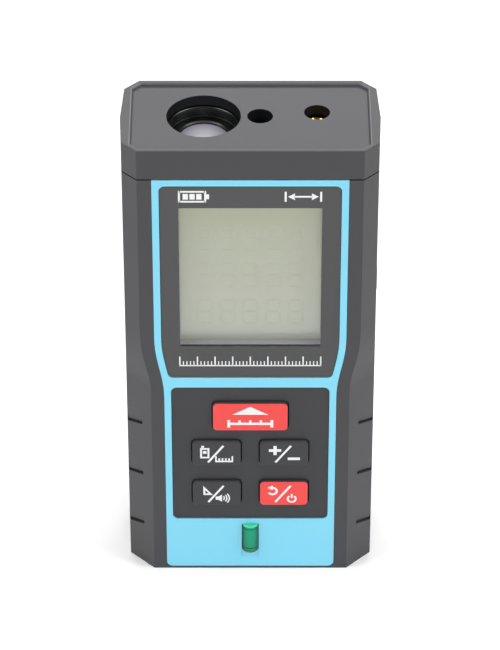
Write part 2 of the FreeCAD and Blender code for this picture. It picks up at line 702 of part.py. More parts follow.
def front_bezel():
    bezel = waisted_panel(0, BEZEL_FOOT, SHELL_TOP, FRONT_Y, POCKET_Y, BEZEL_CORNER, 0)
    window = waisted_panel(BEZEL_BAND, WINDOW_Z0, WINDOW_Z1, FRONT_Y - 1, POCKET_Y + 1,
                           BEZEL_CORNER, BEZEL_CORNER)
    pad = rounded_block(-PAD_HALF, PAD_HALF, FRONT_Y - 1, POCKET_Y + 1, PAD_Z0, PAD_Z1, BEZEL_CORNER)
    return one_solid(bezel.cut([window, pad, vial_pocket()]))


# ---- Display ------------------------------------------------------------------------------
def display_window():
    return waisted_panel(BEZEL_BAND + FIT_GAP, WINDOW_Z0 + FIT_GAP, WINDOW_Z1 - FIT_GAP,
                         FRONT_Y + WINDOW_SINK, POCKET_Y - ADHESIVE, BEZEL_CORNER, BEZEL_CORNER)


def window_adhesive():
    edge = ADHESIVE_EDGE
    sheet = waisted_panel(BEZEL_BAND + edge, WINDOW_Z0 + edge, WINDOW_Z1 - edge,
                          POCKET_Y - ADHESIVE, POCKET_Y, BEZEL_CORNER, BEZEL_CORNER)
    half = LCD_VIEW_HALF + VIEW_GAP
    gap = box(-half, half, -DEPTH, 0, LCD_VIEW_Z0 - VIEW_GAP, LCD_VIEW_Z1 + VIEW_GAP)
    return one_solid(sheet.cut(gap))


def lcd_glass():
    half = LCD_VIEW_HALF + LCD_MARGIN
    return box(-half, half, LCD_Y, LCD_BACK_Y, LCD_VIEW_Z0 - LCD_MARGIN, LCD_VIEW_Z1 + LCD_MARGIN)


def lcd_contact_strip():
    z1 = BOARD_Z1 - CONTACT_TOP_GAP
    half = LCD_VIEW_HALF - CONTACT_SIDE
    return box(-half, half, LCD_BACK_Y, BOARD_Y, z1 - CONTACT_HEIGHT, z1)


def lcd_backlight():
    z1 = BOARD_Z1 - BACKLIGHT_TOP_GAP
    half = LCD_VIEW_HALF + BACKLIGHT_SIDE
    return box(-half, half, LCD_BACK_Y, BOARD_Y, LCD_VIEW_Z0 - BACKLIGHT_FOOT, z1)


# ---- Keypad -------------------------------------------------------------------------------
def key_outlines():
    left = (-SMALL_KEY_OUTER, -KEY_MIDDLE)
    right = (KEY_MIDDLE, SMALL_KEY_OUTER)
    measure_half = PAD_HALF - MEASURE_SIDE
    return {
        "key_measure": (-measure_half, measure_half, *MEASURE_Z),
        "key_reference": (*left, *SECOND_ROW_Z),
        "key_plus_minus": (*right, *SECOND_ROW_Z),
        "key_function": (*left, *THIRD_ROW_Z),
        "key_clear": (*right, *THIRD_ROW_Z),
    }


def keypad_mat():
    front = rounded_block(-PAD_HALF + FIT_GAP, PAD_HALF - FIT_GAP, PAD_Y, POCKET_Y,
                          PAD_Z0 + FIT_GAP, PAD_Z1 - FIT_GAP, BEZEL_CORNER)
    half = PAD_HALF - PAD_LEDGE - FIT_GAP
    back = box(-half, half, POCKET_Y, PAD_BACK_Y, PAD_Z0 + PAD_LEDGE + FIT_GAP,
               PAD_Z1 - PAD_LEDGE - FIT_GAP)
    holes = []
    for x0, x1, z0, z1 in key_outlines().values():
        holes.append(rounded_block(x0 - KEY_GAP, x1 + KEY_GAP, FRONT_Y - 2, PAD_BACK_Y + 1,
                                   z0 - KEY_GAP, z1 + KEY_GAP, KEY_CORNER + KEY_GAP))
    return one_solid(fuse(front, back).cut(holes))


def key_solid(outline):
    """A keycap with its front edge eased, a flange behind the mat and a stem to the dome."""
    x0, x1, z0, z1 = outline
    front_y = FRONT_Y - KEY_PROUD
    flange_y = PAD_BACK_Y + KEY_FLANGE_GAP
    cap = rounded_block(x0, x1, front_y, flange_y, z0, z1, KEY_CORNER)
    rim = [edge for edge in cap.Edges if all(abs(v.Y - front_y) < 1e-4 for v in edge.Vertexes)]
    cap = cap.makeFillet(KEY_EDGE, rim)
    flange = rounded_block(x0 - KEY_FLANGE, x1 + KEY_FLANGE, flange_y, flange_y + KEY_FLANGE,
                           z0 - KEY_FLANGE, z1 + KEY_FLANGE, KEY_CORNER)
    stem_end = BOARD_Y - DOME_HEIGHT - KEY_TRAVEL - STEM_GAP
    stem = rod_y(KEY_STEM_R, flange_y + KEY_FLANGE / 2, stem_end, (x0 + x1) / 2, (z0 + z1) / 2)
    return one_solid(fuse(cap, flange, stem))


def key_domes():
    domes = []
    for x0, x1, z0, z1 in key_outlines().values():
        dome = Part.makeCone(DOME_R, DOME_R * DOME_TOP, DOME_HEIGHT,
                             Vector((x0 + x1) / 2, BOARD_Y, (z0 + z1) / 2), Vector(0, -1, 0))
        domes.append(dome)
    return Part.makeCompound(domes)


# ---- Bubble vial --------------------------------------------------------------------------
def vial_tube():
    tube = rod_z(VIAL_R, VIAL_Z0, VIAL_Z1, 0, VIAL_Y)
    rims = [edge for edge in tube.Edges if len(edge.Vertexes) == 1]
    tube = tube.makeFillet(VIAL_EASE, rims)
    return tube.cut(rod_z(VIAL_BORE_R, VIAL_Z0 - 1, VIAL_Z1 - VIAL_END, 0, VIAL_Y))


def vial_plug():
    z0 = VIAL_Z0 + VIAL_PLUG_SINK
    return rod_z(VIAL_BORE_R, z0, z0 + VIAL_PLUG, 0, VIAL_Y)


def bubble_path_r():
    return BUBBLE_R + BUBBLE_PATH_GAP


def vial_fluid():
    z0 = VIAL_Z0 + VIAL_PLUG_SINK + VIAL_PLUG
    z1 = VIAL_Z1 - VIAL_END
    fluid = rod_z(VIAL_BORE_R, z0, z1, 0, VIAL_Y)
    return fluid.cut(rod_z(bubble_path_r(), z0 + BUBBLE_PATH_GAP, z1 - BUBBLE_PATH_GAP / 2, 0, VIAL_Y))


def vial_bubble():
    """A bubble at rest under the closed end: a rod with two half-round ends."""
    top = VIAL_Z1 - VIAL_END - BUBBLE_DROP
    ball_low = Part.makeSphere(BUBBLE_R, Vector(0, VIAL_Y, top - BUBBLE_LENGTH + BUBBLE_R))
    ball_top = Part.makeSphere(BUBBLE_R, Vector(0, VIAL_Y, top - BUBBLE_R))
    middle = rod_z(BUBBLE_R, top - BUBBLE_LENGTH + BUBBLE_R, top - BUBBLE_R, 0, VIAL_Y)
    return one_solid(fuse(middle, ball_low, ball_top))


# ---- Optics -------------------------------------------------------------------------------
def optics_block():
    """One casting: lens barrel, light tunnel, laser holder, the deck between, and two ears."""
    front = BOARD_BACK_Y
    back = OPTIC_Y + TUNNEL_HALF_Y
    barrel = rod_z(BARREL_R, BARREL_Z0, OPTICS_TOP, RECEIVER_X, OPTIC_Y)
    tunnel = box(RECEIVER_X - TUNNEL_HALF, RECEIVER_X + TUNNEL_HALF, front, back, TUNNEL_Z0, BARREL_Z0 + 1)
    deck = box(RECEIVER_X, LASER_X, front, back, BARREL_Z0, DECK_Z1)
    holder = rod_z(LASER_HOLDER_R, LASER_HOLDER_Z0, DECK_Z1, LASER_X, LASER_Y)
    z0 = OPTICS_SCREW_Z - EAR_HEIGHT / 2
    web = box(RECEIVER_X, LASER_X, PARTING_Y - EAR_THICKNESS / 2, OPTIC_Y + WEB_HALF, z0, DECK_Z1)
    ears = box(-CASE_SCREW_X - BOSS_R, CASE_SCREW_X + BOSS_R, PARTING_Y - EAR_THICKNESS, PARTING_Y,
               z0, z0 + EAR_HEIGHT)
    block = fuse(barrel, tunnel, deck, holder, web, ears)
    waist_r = TUNNEL_HALF_Y - TUNNEL_WALL
    bore_r = HOOD_BORE_R - LENS_GAP
    cuts = [
        rod_z(bore_r, LENS_Z, OPTICS_TOP + 1, RECEIVER_X, OPTIC_Y),
        cone_z(waist_r, bore_r - CONE_STEP, BARREL_Z0, LENS_Z, RECEIVER_X, OPTIC_Y),
        cone_z(TUNNEL_EXIT_R, waist_r, TUNNEL_Z0, BARREL_Z0, RECEIVER_X, OPTIC_Y),
        rod_z(LASER_TUBE_R + SCREW_GAP, LASER_HOLDER_Z0 + LASER_SEAT, HEIGHT, LASER_X, LASER_Y),
        rod_z(LASER_BORE_R, LASER_HOLDER_Z0 - 1, HEIGHT, LASER_X, LASER_Y),
        rod_z(SCREW_R + SCREW_GAP, DECK_Z1 - CAP_SCREW_REACH - PILOT_SPARE, HEIGHT, MIDDLE_X, OPTIC_Y),
    ]
    for x, z in optics_screw_places():
        cuts.append(rod_y(SCREW_R + SCREW_CLEARANCE, front - 9, back + 9, x, z))
    return one_solid(block.cut(cuts))


def receiver_lens():
    radius = HOOD_BORE_R - LENS_GAP - SCREW_GAP
    edge = rod_z(radius, LENS_Z, LENS_Z + LENS_EDGE, RECEIVER_X, OPTIC_Y)
    ball_r = (LENS_DOME_R ** 2 + LENS_DOME ** 2) / (2 * LENS_DOME)
    top = LENS_Z + LENS_EDGE + LENS_DOME
    ball = Part.makeSphere(ball_r, Vector(RECEIVER_X, OPTIC_Y, top - ball_r))
    dome = ball.common(rod_z(LENS_DOME_R, LENS_Z + LENS_EDGE, top + 1, RECEIVER_X, OPTIC_Y))
    return one_solid(fuse(edge, dome))


def lens_retainer():
    z0 = LENS_Z + LENS_EDGE
    return tube_z(HOOD_BORE_R - LENS_GAP - SCREW_GAP, LENS_DOME_R + HOOD_GAP, z0, z0 + RETAINER_HEIGHT,
                  RECEIVER_X, OPTIC_Y)


def lens_hood():
    return tube_z(BARREL_R, HOOD_BORE_R, OPTICS_TOP, HOOD_TOP, RECEIVER_X, OPTIC_Y)


def laser_barrel():
    return tube_z(LASER_TUBE_R, LASER_BORE_R, LASER_HOLDER_Z0 + LASER_SEAT, CAP_UNDER - LASER_TUBE_SINK,
                  LASER_X, LASER_Y)


def laser_lens():
    z1 = CAP_UNDER - LASER_LENS_SINK
    return rod_z(LASER_BORE_R, z1 - LASER_LENS_EDGE, z1, LASER_X, LASER_Y)


def laser_diode():
    z = LASER_HOLDER_Z0
    flange = rod_z(DIODE_FLANGE_R, z - DIODE_FLANGE, z, LASER_X, LASER_Y)
    can = rod_z(LASER_BORE_R - SCREW_GAP, z - DIODE_FLANGE / 2, z + DIODE_CAN, LASER_X, LASER_Y)
    pins = [rod_z(DIODE_PIN_R, z - DIODE_PIN, z - DIODE_FLANGE / 2,
                  LASER_X + DIODE_PIN_SPREAD * dx, LASER_Y + DIODE_PIN_SPREAD * dy)
            for dx, dy in ((-1, 0), (1, 0), (0, 1))]
    return fuse(flange, can, *pins)


def photodiode_carrier():
    half = TUNNEL_HALF - CARRIER_SIDE
    depth = TUNNEL_HALF_Y - CARRIER_FRONT
    return box(RECEIVER_X - half, RECEIVER_X + half, OPTIC_Y - depth, OPTIC_Y + depth,
               TUNNEL_Z0 - CARRIER_THICKNESS, TUNNEL_Z0)


def photodiode():
    half = TUNNEL_EXIT_R * PHOTODIODE_SHARE
    return box(RECEIVER_X - half, RECEIVER_X + half, OPTIC_Y - half, OPTIC_Y + half,
               TUNNEL_Z0, TUNNEL_Z0 + PHOTODIODE_THICKNESS)


# ---- Board and what is on it --------------------------------------------------------------
def main_board():
    board = box(-BOARD_HALF, BOARD_HALF, BOARD_Y, BOARD_BACK_Y, BOARD_Z0, BOARD_Z1)
    tab_half = USB_WIDTH / 2 + USB_TAB_SIDE
    tab = box(BOARD_HALF - 1, BOARD_HALF + USB_TAB, BOARD_Y, BOARD_BACK_Y,
              PORT_Z - tab_half, PORT_Z + tab_half)
    holes = [rod_y(SCREW_R + SCREW_CLEARANCE, BOARD_Y - 1, BOARD_BACK_Y + 1, x, z)
             for x, z in board_screw_places()]
    return one_solid(fuse(board, tab).cut(holes))


def chip(x, z, width, height, thickness):
    return box(x - width / 2, x + width / 2, BOARD_BACK_Y, BOARD_BACK_Y + thickness,
               z - height / 2, z + height / 2)


def board_chips():
    x, z = CHIP_ROW
    across, up = CHIP_PITCH
    small = [chip(x + across * column, z + up * row, *SMALL_CHIP)
             for column in range(CHIP_COLUMNS) for row in (0, 1)]
    large = [chip(*values) for values in LARGE_CHIPS]
    return Part.makeCompound(small + large)


def shield_can():
    x, z, width, height, depth = SHIELD
    skin = SHIELD_SKIN
    return chip(*SHIELD).cut(chip(x, z, width - 2 * skin, height - 2 * skin, depth - skin))


def buzzer():
    z = TUNNEL_Z0 - BUZZER_DROP
    back = BOARD_BACK_Y + BUZZER_HEIGHT
    body = rod_y(BUZZER_R, BOARD_BACK_Y, back, BUZZER_X, z)
    return body.cut(rod_y(BUZZER_HOLE_R, back - BUZZER_HOLE, back + 1, BUZZER_X, z))


def usb_receptacle():
    """An open-ended steel shell with a tongue, lying on the board's tab."""
    x1 = PAD_X - DOOR_GAP
    x0 = x1 - USB_LENGTH
    half_z = USB_WIDTH / 2
    half_y = USB_THICKNESS / 2
    skin = USB_SKIN
    shell = box(x0, x1, PORT_Y - half_y, PORT_Y + half_y, PORT_Z - half_z, PORT_Z + half_z)
    cavity = box(x0 + USB_BACK, x1 + 1, PORT_Y - half_y + skin, PORT_Y + half_y - skin,
                 PORT_Z - half_z + skin, PORT_Z + half_z - skin)
    tongue_z = half_z - TONGUE_SIDE
    tongue = box(x0 + USB_BACK / 2, x1 - TONGUE_SINK, PORT_Y - TONGUE_HALF, PORT_Y + TONGUE_HALF,
                 PORT_Z - tongue_z, PORT_Z + tongue_z)
    return fuse(shell.cut(cavity), tongue)


def port_door():
    """A hinged cover that lies flush with the drafted side, with a plug that fills the port."""
    z0 = PORT_Z - DOOR_LENGTH / 2
    z1 = PORT_Z + DOOR_LENGTH / 2
    inner_x = DOOR_FLOOR_X + DOOR_GAP
    plate = body_form(0, z0, z1).common(box(inner_x, WIDTH, DOOR_FRONT_Y, DOOR_PIN_Y, z0, z1))
    lug_z0 = PORT_Z - KNUCKLE_LENGTH / 2
    lug_z1 = PORT_Z + KNUCKLE_LENGTH / 2
    ends = [box(DOOR_PIN_X - BEYOND, WIDTH, DOOR_PIN_Y - DOOR_LUG, DOOR_PIN_Y + 1, z0 - 1, lug_z0),
            box(DOOR_PIN_X - BEYOND, WIDTH, DOOR_PIN_Y - DOOR_LUG, DOOR_PIN_Y + 1, lug_z1, z1 + 1)]
    knuckle = rod_z(KNUCKLE_R, lug_z0, lug_z1, DOOR_PIN_X, DOOR_PIN_Y)
    plug_y = USB_THICKNESS / 2 - DOOR_PLUG_GAP[0]
    plug_z = USB_WIDTH / 2 - DOOR_PLUG_GAP[1]
    plug = box(inner_x - DOOR_PLUG, inner_x + DOOR_GAP, PORT_Y - plug_y, PORT_Y + plug_y,
               PORT_Z - plug_z, PORT_Z + plug_z)
    door = fuse(plate.cut(ends), knuckle, plug)
    return one_solid(door.cut(rod_z(DOOR_PIN_R + DOOR_PIN_GAP, z0 - 1, z1 + 1, DOOR_PIN_X, DOOR_PIN_Y)))


def door_pin():
    reach = DOOR_LENGTH / 2 + DOOR_GAP + DOOR_PIN_REACH
    return rod_z(DOOR_PIN_R, PORT_Z - reach, PORT_Z + reach, DOOR_PIN_X, DOOR_PIN_Y)


# ---- Battery ------------------------------------------------------------------------------
def battery_cell():
    return rounded_block(-BATTERY_HALF, BATTERY_HALF, BATTERY_Y, BATTERY_BACK_Y,
                         BATTERY_Z0, BATTERY_Z1 - STRIP_HEIGHT, CELL_CORNER)


def battery_strip():
    half = BATTERY_HALF - STRIP_INSET
    return box(-half, half, BATTERY_Y + STRIP_SINK, BATTERY_BACK_Y - STRIP_SINK,
               BATTERY_Z1 - STRIP_HEIGHT, BATTERY_Z1)


def battery_foam():
    half = BATTERY_HALF - STRIP_INSET
    return box(-half, half, BATTERY_BACK_Y, BACK_Y - WALL,
               BATTERY_Z0 + STRIP_INSET, BATTERY_Z1 - STRIP_HEIGHT - STRIP_INSET)


def battery_socket():
    half = PLUG_HEIGHT / 2 + SOCKET_WALL
    side = PLUG_HALF + SOCKET_WALL
    return box(LEAD_X - side, LEAD_X + side, BOARD_BACK_Y,
               BOARD_BACK_Y + SOCKET_DEPTH, LEAD_Z - half, LEAD_Z + half)


def battery_plug():
    y0 = BOARD_BACK_Y + SOCKET_DEPTH
    return box(LEAD_X - PLUG_HALF, LEAD_X + PLUG_HALF, y0, y0 + PLUG_DEPTH,
               LEAD_Z - PLUG_HEIGHT / 2, LEAD_Z + PLUG_HEIGHT / 2)


def battery_lead(x):
    """A lead from the plug, straight back, round one bend and down to the cell's strip."""
    start = Vector(x, BOARD_BACK_Y + SOCKET_DEPTH + PLUG_DEPTH, LEAD_Z)
    corner = Vector(x, LEAD_Y, LEAD_Z)
    end = Vector(x, LEAD_Y, BATTERY_Z1)
    bend = 0.45 * min((corner - start).Length, (end - corner).Length)
    into = corner - Vector(0, bend, 0)
    out_of = corner - Vector(0, 0, bend)
    half = bend * (1 - math.sqrt(0.5))
    middle = corner - Vector(0, half, half)
    path = Part.Wire([
        Part.makeLine(start, into),
        Part.Arc(into, middle, out_of).toShape(),
        Part.makeLine(out_of, end),
    ])
    section = Part.Wire(Part.makeCircle(LEAD_R, start, Vector(0, 1, 0)))
    tube = path.makePipeShell([section], True, False)
    length = path.Length
    ratio = tube.Volume / (math.pi * LEAD_R ** 2 * length)
    print("lead at x %.1f: bend radius %.2f, volume over section times length %.3f" % (x, bend, ratio))
    return tube


# ---- The whole ----------------------------------------------------------------------------
def build_nodes():
    nodes = {
        "front_shell": front_shell(),
        "rear_shell": rear_shell(),
        "rear_label": rear_label(),
        "top_cap": top_cap(),
        "cap_gasket": cap_gasket(),
        "front_bezel": front_bezel(),
        "display_window": display_window(),
        "window_adhesive": window_adhesive(),
        "lcd_glass": lcd_glass(),
        "lcd_contact_strip": lcd_contact_strip(),
        "lcd_backlight": lcd_backlight(),
        "keypad_mat": keypad_mat(),
        "key_domes": key_domes(),
        "vial_tube": vial_tube(),
        "vial_plug": vial_plug(),
        "vial_fluid": vial_fluid(),
        "vial_bubble": vial_bubble(),
        "optics_block": optics_block(),
        "receiver_lens": receiver_lens(),
        "lens_retainer": lens_retainer(),
        "lens_hood": lens_hood(),
        "laser_barrel": laser_barrel(),
        "laser_lens": laser_lens(),
        "laser_diode": laser_diode(),
        "photodiode_carrier": photodiode_carrier(),
        "photodiode": photodiode(),
        "main_board": main_board(),
        "board_chips": board_chips(),
        "shield_can": shield_can(),
        "buzzer": buzzer(),
        "usb_receptacle": usb_receptacle(),
        "port_door": port_door(),
        "door_pin": door_pin(),
        "battery_cell": battery_cell(),
        "battery_strip": battery_strip(),
        "battery_foam": battery_foam(),
        "battery_socket": battery_socket(),
        "battery_plug": battery_plug(),
        "battery_lead_red": battery_lead(LEAD_X - LEAD_PITCH / 2),
        "battery_lead_black": battery_lead(LEAD_X + LEAD_PITCH / 2),
    }
    for name, outline in key_outlines().items():
        nodes[name] = key_solid(outline)
    seat = BACK_Y - COUNTERBORE
    nodes["case_screws"] = Part.makeCompound(
        [screw(x, seat, z, PARTING_Y - CASE_SCREW_REACH) for x, z in case_screw_places()])
    nodes["board_screws"] = Part.makeCompound(
        [screw(x, BOARD_BACK_Y, z, BOARD_Y - BOARD_SCREW_REACH) for x, z in board_screw_places()])
    nodes["optics_screws"] = Part.makeCompound(
        [screw(x, PARTING_Y, z, PARTING_Y - EAR_THICKNESS - OPTICS_SCREW_REACH)
         for x, z in optics_screw_places()])
    cap_screw = screw(0, 0, 0, CAP_SCREW_SEAT + CAP_SCREW_REACH, head=-1)
    cap_screw.rotate(Vector(0, 0, 0), Vector(1, 0, 0), -90)
    cap_screw.translate(Vector(MIDDLE_X, OPTIC_Y, cap_screw_floor()))
    nodes["cap_screw"] = cap_screw
    return nodes


def main():
    os.makedirs("parts", exist_ok=True)
    for name, shape in build_nodes().items():
        shape.exportStep("parts/%s.step" % name)
        print("%-20s solids %d valid %s volume %.1f" % (
            name, len(shape.Solids), shape.isValid(), shape.Volume))


main()
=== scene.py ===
"""Looks of the pocket laser distance meter, laid out as an add-on and run as a script."""

import json
import math

import bmesh
import bpy
from mathutils import Matrix, Vector


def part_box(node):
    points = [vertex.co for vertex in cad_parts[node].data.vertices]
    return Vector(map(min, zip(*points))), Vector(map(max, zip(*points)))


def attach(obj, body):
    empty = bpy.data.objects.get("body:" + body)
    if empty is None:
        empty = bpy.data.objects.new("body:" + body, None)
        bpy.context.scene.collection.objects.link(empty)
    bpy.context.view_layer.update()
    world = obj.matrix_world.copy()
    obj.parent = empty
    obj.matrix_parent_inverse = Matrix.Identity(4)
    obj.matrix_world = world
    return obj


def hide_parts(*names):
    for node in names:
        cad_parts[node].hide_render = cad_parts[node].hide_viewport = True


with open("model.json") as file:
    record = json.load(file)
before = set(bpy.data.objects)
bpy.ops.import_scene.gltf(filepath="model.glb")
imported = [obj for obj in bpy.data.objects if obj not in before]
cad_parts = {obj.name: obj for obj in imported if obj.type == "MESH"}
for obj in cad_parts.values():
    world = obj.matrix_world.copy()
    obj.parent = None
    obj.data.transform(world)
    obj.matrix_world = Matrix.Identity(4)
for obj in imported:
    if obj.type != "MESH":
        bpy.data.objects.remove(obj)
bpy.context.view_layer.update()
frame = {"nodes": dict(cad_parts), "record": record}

bl_info = {
    "name": "Laser Distance Meter",
    "version": (1, 0, 0),
    "blender": (4, 5, 0),
    "location": "3D View > Sidebar > Meter",
    "description": "Casing, display, keypad, bubble vial and optics of a pocket distance meter",
    "category": "Object",
}

MM = 0.001
NODES = frame["nodes"]
BODY_OF = {node: body for body, names in frame["record"]["behaviour"]["bodies"].items() for node in names}
SLOT_OF = {row["node"]: row["material_slot"] for row in frame["record"]["subparts"]}
WHITE = (1, 1, 1, 1)
ACRYLIC = 1.49


# ---- Small helpers ------------------------------------------------------------------------
def srgb(red, green, blue):
    """A screen colour from 0 to 255 as the linear colour that a shader takes."""
    def linear(value):
        value /= 255
        return value / 12.92 if value <= 0.04045 else ((value + 0.055) / 1.055) ** 2.4
    return (linear(red), linear(green), linear(blue), 1.0)


def centre(node):
    low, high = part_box(node)
    return (low + high) / 2


def chosen(group):
    """The scene's settings for one group of pieces."""
    return getattr(bpy.context.scene, "meter_" + group)


def paint(name):
    """A colour setting as the four numbers that a shader takes."""
    return tuple(getattr(chosen("materials"), name)) + (1,)


def round_part(node):
    """The foot, top, middle and radius of a round node that stands upright."""
    low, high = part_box(node)
    return low.z, high.z, (low + high) / 2, (high.x - low.x) / 2


def quarter_turn(steps):
    """Sine and cosine at even steps through a quarter of a circle."""
    for step in range(steps + 1):
        angle = math.pi / 2 * step / steps
        yield math.sin(angle), math.cos(angle)


def new_object(name, data):
    piece = bpy.data.objects.new(name, data)
    bpy.context.scene.collection.objects.link(piece)
    return piece


def smoothed(mesh, angle):
    """Smooth shading with sharp edges above an angle in degrees."""
    mesh.shade_smooth()
    mesh.set_sharp_from_angle(angle=math.radians(angle))


def mesh_from(name, bm, material, smooth_angle=30):
    mesh = bpy.data.meshes.new(name)
    bm.to_mesh(mesh)
    bm.free()
    mesh.materials.append(material)
    smoothed(mesh, smooth_angle)
    return new_object(name, mesh)


def settle(piece, stands_for=(), like=None, body=None):
    """Puts a finished piece on its CAD body, and hides the nodes it stands for."""
    nodes = [stands_for] if isinstance(stands_for, str) else list(stands_for)
    model = like or nodes[0]
    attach(piece, body or BODY_OF[model])
    if nodes:
        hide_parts(*nodes)
    return piece


# ---- Shader node groups -------------------------------------------------------------------
class Nodes:
    """A node tree with short ways to add nodes and links."""

    def __init__(self, tree):
        self.tree = tree

    def add(self, kind, inputs=None, **settings):
        node = self.tree.nodes.new(kind)
        for key, value in settings.items():
            setattr(node, key, value)
        for key, value in (inputs or {}).items():
            if isinstance(value, bpy.types.NodeSocket):
                self.tree.links.new(value, node.inputs[key])
            else:
                node.inputs[key].default_value = value
        return node

    def math(self, operation, first, second=0.0, clamp=False):
        node = self.add("ShaderNodeMath", {0: first, 1: second}, operation=operation, use_clamp=clamp)
        return node.outputs[0]
    def multiply_add(self, value, factor, offset):
        inputs = {0: value, 1: factor, 2: offset}
        return self.add("ShaderNodeMath", inputs, operation="MULTIPLY_ADD").outputs[0]

    def place(self):
        """Object coordinates in metres, which every texture here runs on."""
        return self.add("ShaderNodeTexCoord").outputs["Object"]

    def noise(self, place, scale, detail=2.0, **more):
        inputs = {"Vector": place, "Scale": scale, "Detail": detail, **more}
        return self.add("ShaderNodeTexNoise", inputs).outputs[0]

    def grey(self, value):
        """One value as a colour with three equal channels."""
        return self.add("ShaderNodeCombineColor", {"Red": value, "Green": value, "Blue": value}).outputs[0]

    def times(self, first, second):
        return self.mix(1.0, first, second, blend="MULTIPLY")
    def mix(self, factor, first, second, blend="MIX"):
        node = self.tree.nodes.new("ShaderNodeMix")
        node.data_type = "RGBA"
        node.blend_type = blend
        wires = {"Factor_Float": factor, "A_Color": first, "B_Color": second}
        for socket in node.inputs:
            if socket.identifier in wires:
                value = wires[socket.identifier]
                if isinstance(value, bpy.types.NodeSocket):
                    self.tree.links.new(value, socket)
                else:
                    socket.default_value = value
        return [socket for socket in node.outputs if socket.identifier == "Result_Color"][0]

    def link(self, source, target):
        self.tree.links.new(source, target)


def new_group(name, inputs, outputs):
    tree = bpy.data.node_groups.new(name, "ShaderNodeTree")
    for label, kind, default in inputs:
        socket = tree.interface.new_socket(label, in_out="INPUT", socket_type=kind)
        socket.default_value = default
    for label, kind in outputs:
        tree.interface.new_socket(label, in_out="OUTPUT", socket_type=kind)
    nodes = Nodes(tree)
    return nodes, nodes.add("NodeGroupInput").outputs, nodes.add("NodeGroupOutput").inputs


def moulded_grain_group():
    """Spark-eroded mould texture: fine pits with a softer cloud below them."""
    nodes, given, result = new_group(
        "Moulded grain",
        [("Grain Scale", "NodeSocketFloat", 3000.0), ("Pit Depth", "NodeSocketFloat", 0.5)],
        [("Height", "NodeSocketFloat")])
    place = nodes.place()
    fine = nodes.noise(place, given["Grain Scale"])
    coarse = nodes.noise(place, nodes.math("MULTIPLY", given["Grain Scale"], 0.22), 3.0)
    pits = nodes.add("ShaderNodeTexVoronoi", {"Vector": place, "Scale": given["Grain Scale"]})
    pit = nodes.math("MULTIPLY", pits.outputs["Distance"], given["Pit Depth"])
    height = nodes.math("ADD", nodes.math("MULTIPLY", fine, 0.7), pit)
    nodes.link(nodes.math("ADD", height, nodes.math("MULTIPLY", coarse, 0.5)), result["Height"])
    return nodes.tree


def handling_and_highlight_group():
    """Paler edges, partly light wear and partly painted highlight where rounded edges catch the light, a slow
    change of tone and faint smudges, for moulded and metal parts.
    """
    nodes, given, result = new_group(
        "Handling",
        [("Color", "NodeSocketColor", (0.1, 0.1, 0.1, 1)),
         ("Edge Color", "NodeSocketColor", (0.3, 0.3, 0.3, 1)),
         ("Edge Amount", "NodeSocketFloat", 0.3), ("Edge Width", "NodeSocketFloat", 0.0004),
         ("Roughness", "NodeSocketFloat", 0.5), ("Smudge", "NodeSocketFloat", 0.08)],
        [("Color", "NodeSocketColor"), ("Roughness", "NodeSocketFloat")])
    place = nodes.place()
    # Edge mask for the paler edges: partly wear, partly painted highlight.
    rounded = nodes.add("ShaderNodeBevel", {"Radius": given["Edge Width"]}, samples=4)
    flat = nodes.add("ShaderNodeNewGeometry").outputs["Normal"]
    turned = nodes.add("ShaderNodeVectorMath", {0: rounded.outputs[0], 1: flat}, operation="DOT_PRODUCT")
    edge = nodes.math("SUBTRACT", 1.0, turned.outputs["Value"], clamp=True)
    edge = nodes.math("MULTIPLY", edge, 5.0, clamp=True)
    edge = nodes.math("MULTIPLY", edge, nodes.noise(place, 420.0, 3.0))
    edge = nodes.math("MULTIPLY", edge, given["Edge Amount"], clamp=True)
    slow = nodes.math("SUBTRACT", nodes.noise(place, 45.0, 4.0, Roughness=0.6), 0.5)
    shade = nodes.multiply_add(slow, nodes.math("MULTIPLY", given["Smudge"], 1.2), 1.0)
    toned = nodes.times(given["Color"], nodes.grey(shade))
    nodes.link(nodes.mix(edge, toned, given["Edge Color"]), result["Color"])
    nodes.link(nodes.multiply_add(slow, given["Smudge"], given["Roughness"]), result["Roughness"])
    return nodes.tree


def brushed_group():
    """Turning or brushing marks that run round or along a metal part."""
    nodes, given, result = new_group(
        "Tool marks", [("Mark Scale", "NodeSocketFloat", 900.0), ("Stretch", "NodeSocketVector", (1, 1, 14))],
        [("Height", "NodeSocketFloat")])
    squeezed = nodes.add("ShaderNodeVectorMath", {0: nodes.place(), 1: given["Stretch"]},
                         operation="MULTIPLY")
    nodes.link(nodes.noise(squeezed.outputs[0], given["Mark Scale"]), result["Height"])
    return nodes.tree


GROUPS = {}


def group_tree(key):
    makers = {"grain": moulded_grain_group, "handling": handling_and_highlight_group, "marks": brushed_group}
    if key not in GROUPS:
        GROUPS[key] = makers[key]()
    return GROUPS[key]


# ---- Materials ----------------------------------------------------------------------------
def new_material(name, **sockets):
    material = bpy.data.materials.new(name)
    material.use_nodes = True
    nodes = Nodes(material.node_tree)
    shader = material.node_tree.nodes["Principled BSDF"]
    for label, value in sockets.items():
        shader.inputs[label.replace("_", " ")].default_value = value
    return material, nodes, shader


def wear_and_edge_highlight(nodes, shader, color, roughness, edge_color, edge_amount=0.3, smudge=0.08, width=0.4 * MM):
    """Wires the handling and highlight group into a material's colour and roughness."""
    values = {"Color": color, "Edge Color": edge_color, "Edge Amount": edge_amount, "Edge Width": width,
              "Roughness": roughness, "Smudge": smudge}
    effect = nodes.add("ShaderNodeGroup", values, node_tree=group_tree("handling"))
    nodes.link(effect.outputs["Color"], shader.inputs["Base Color"])
    nodes.link(effect.outputs["Roughness"], shader.inputs["Roughness"])


def bumped(nodes, shader, height, strength, distance=0.03 * MM):
    bump = nodes.add("ShaderNodeBump", {"Height": height, "Strength": strength, "Distance": distance})
    nodes.link(bump.outputs["Normal"], shader.inputs["Normal"])


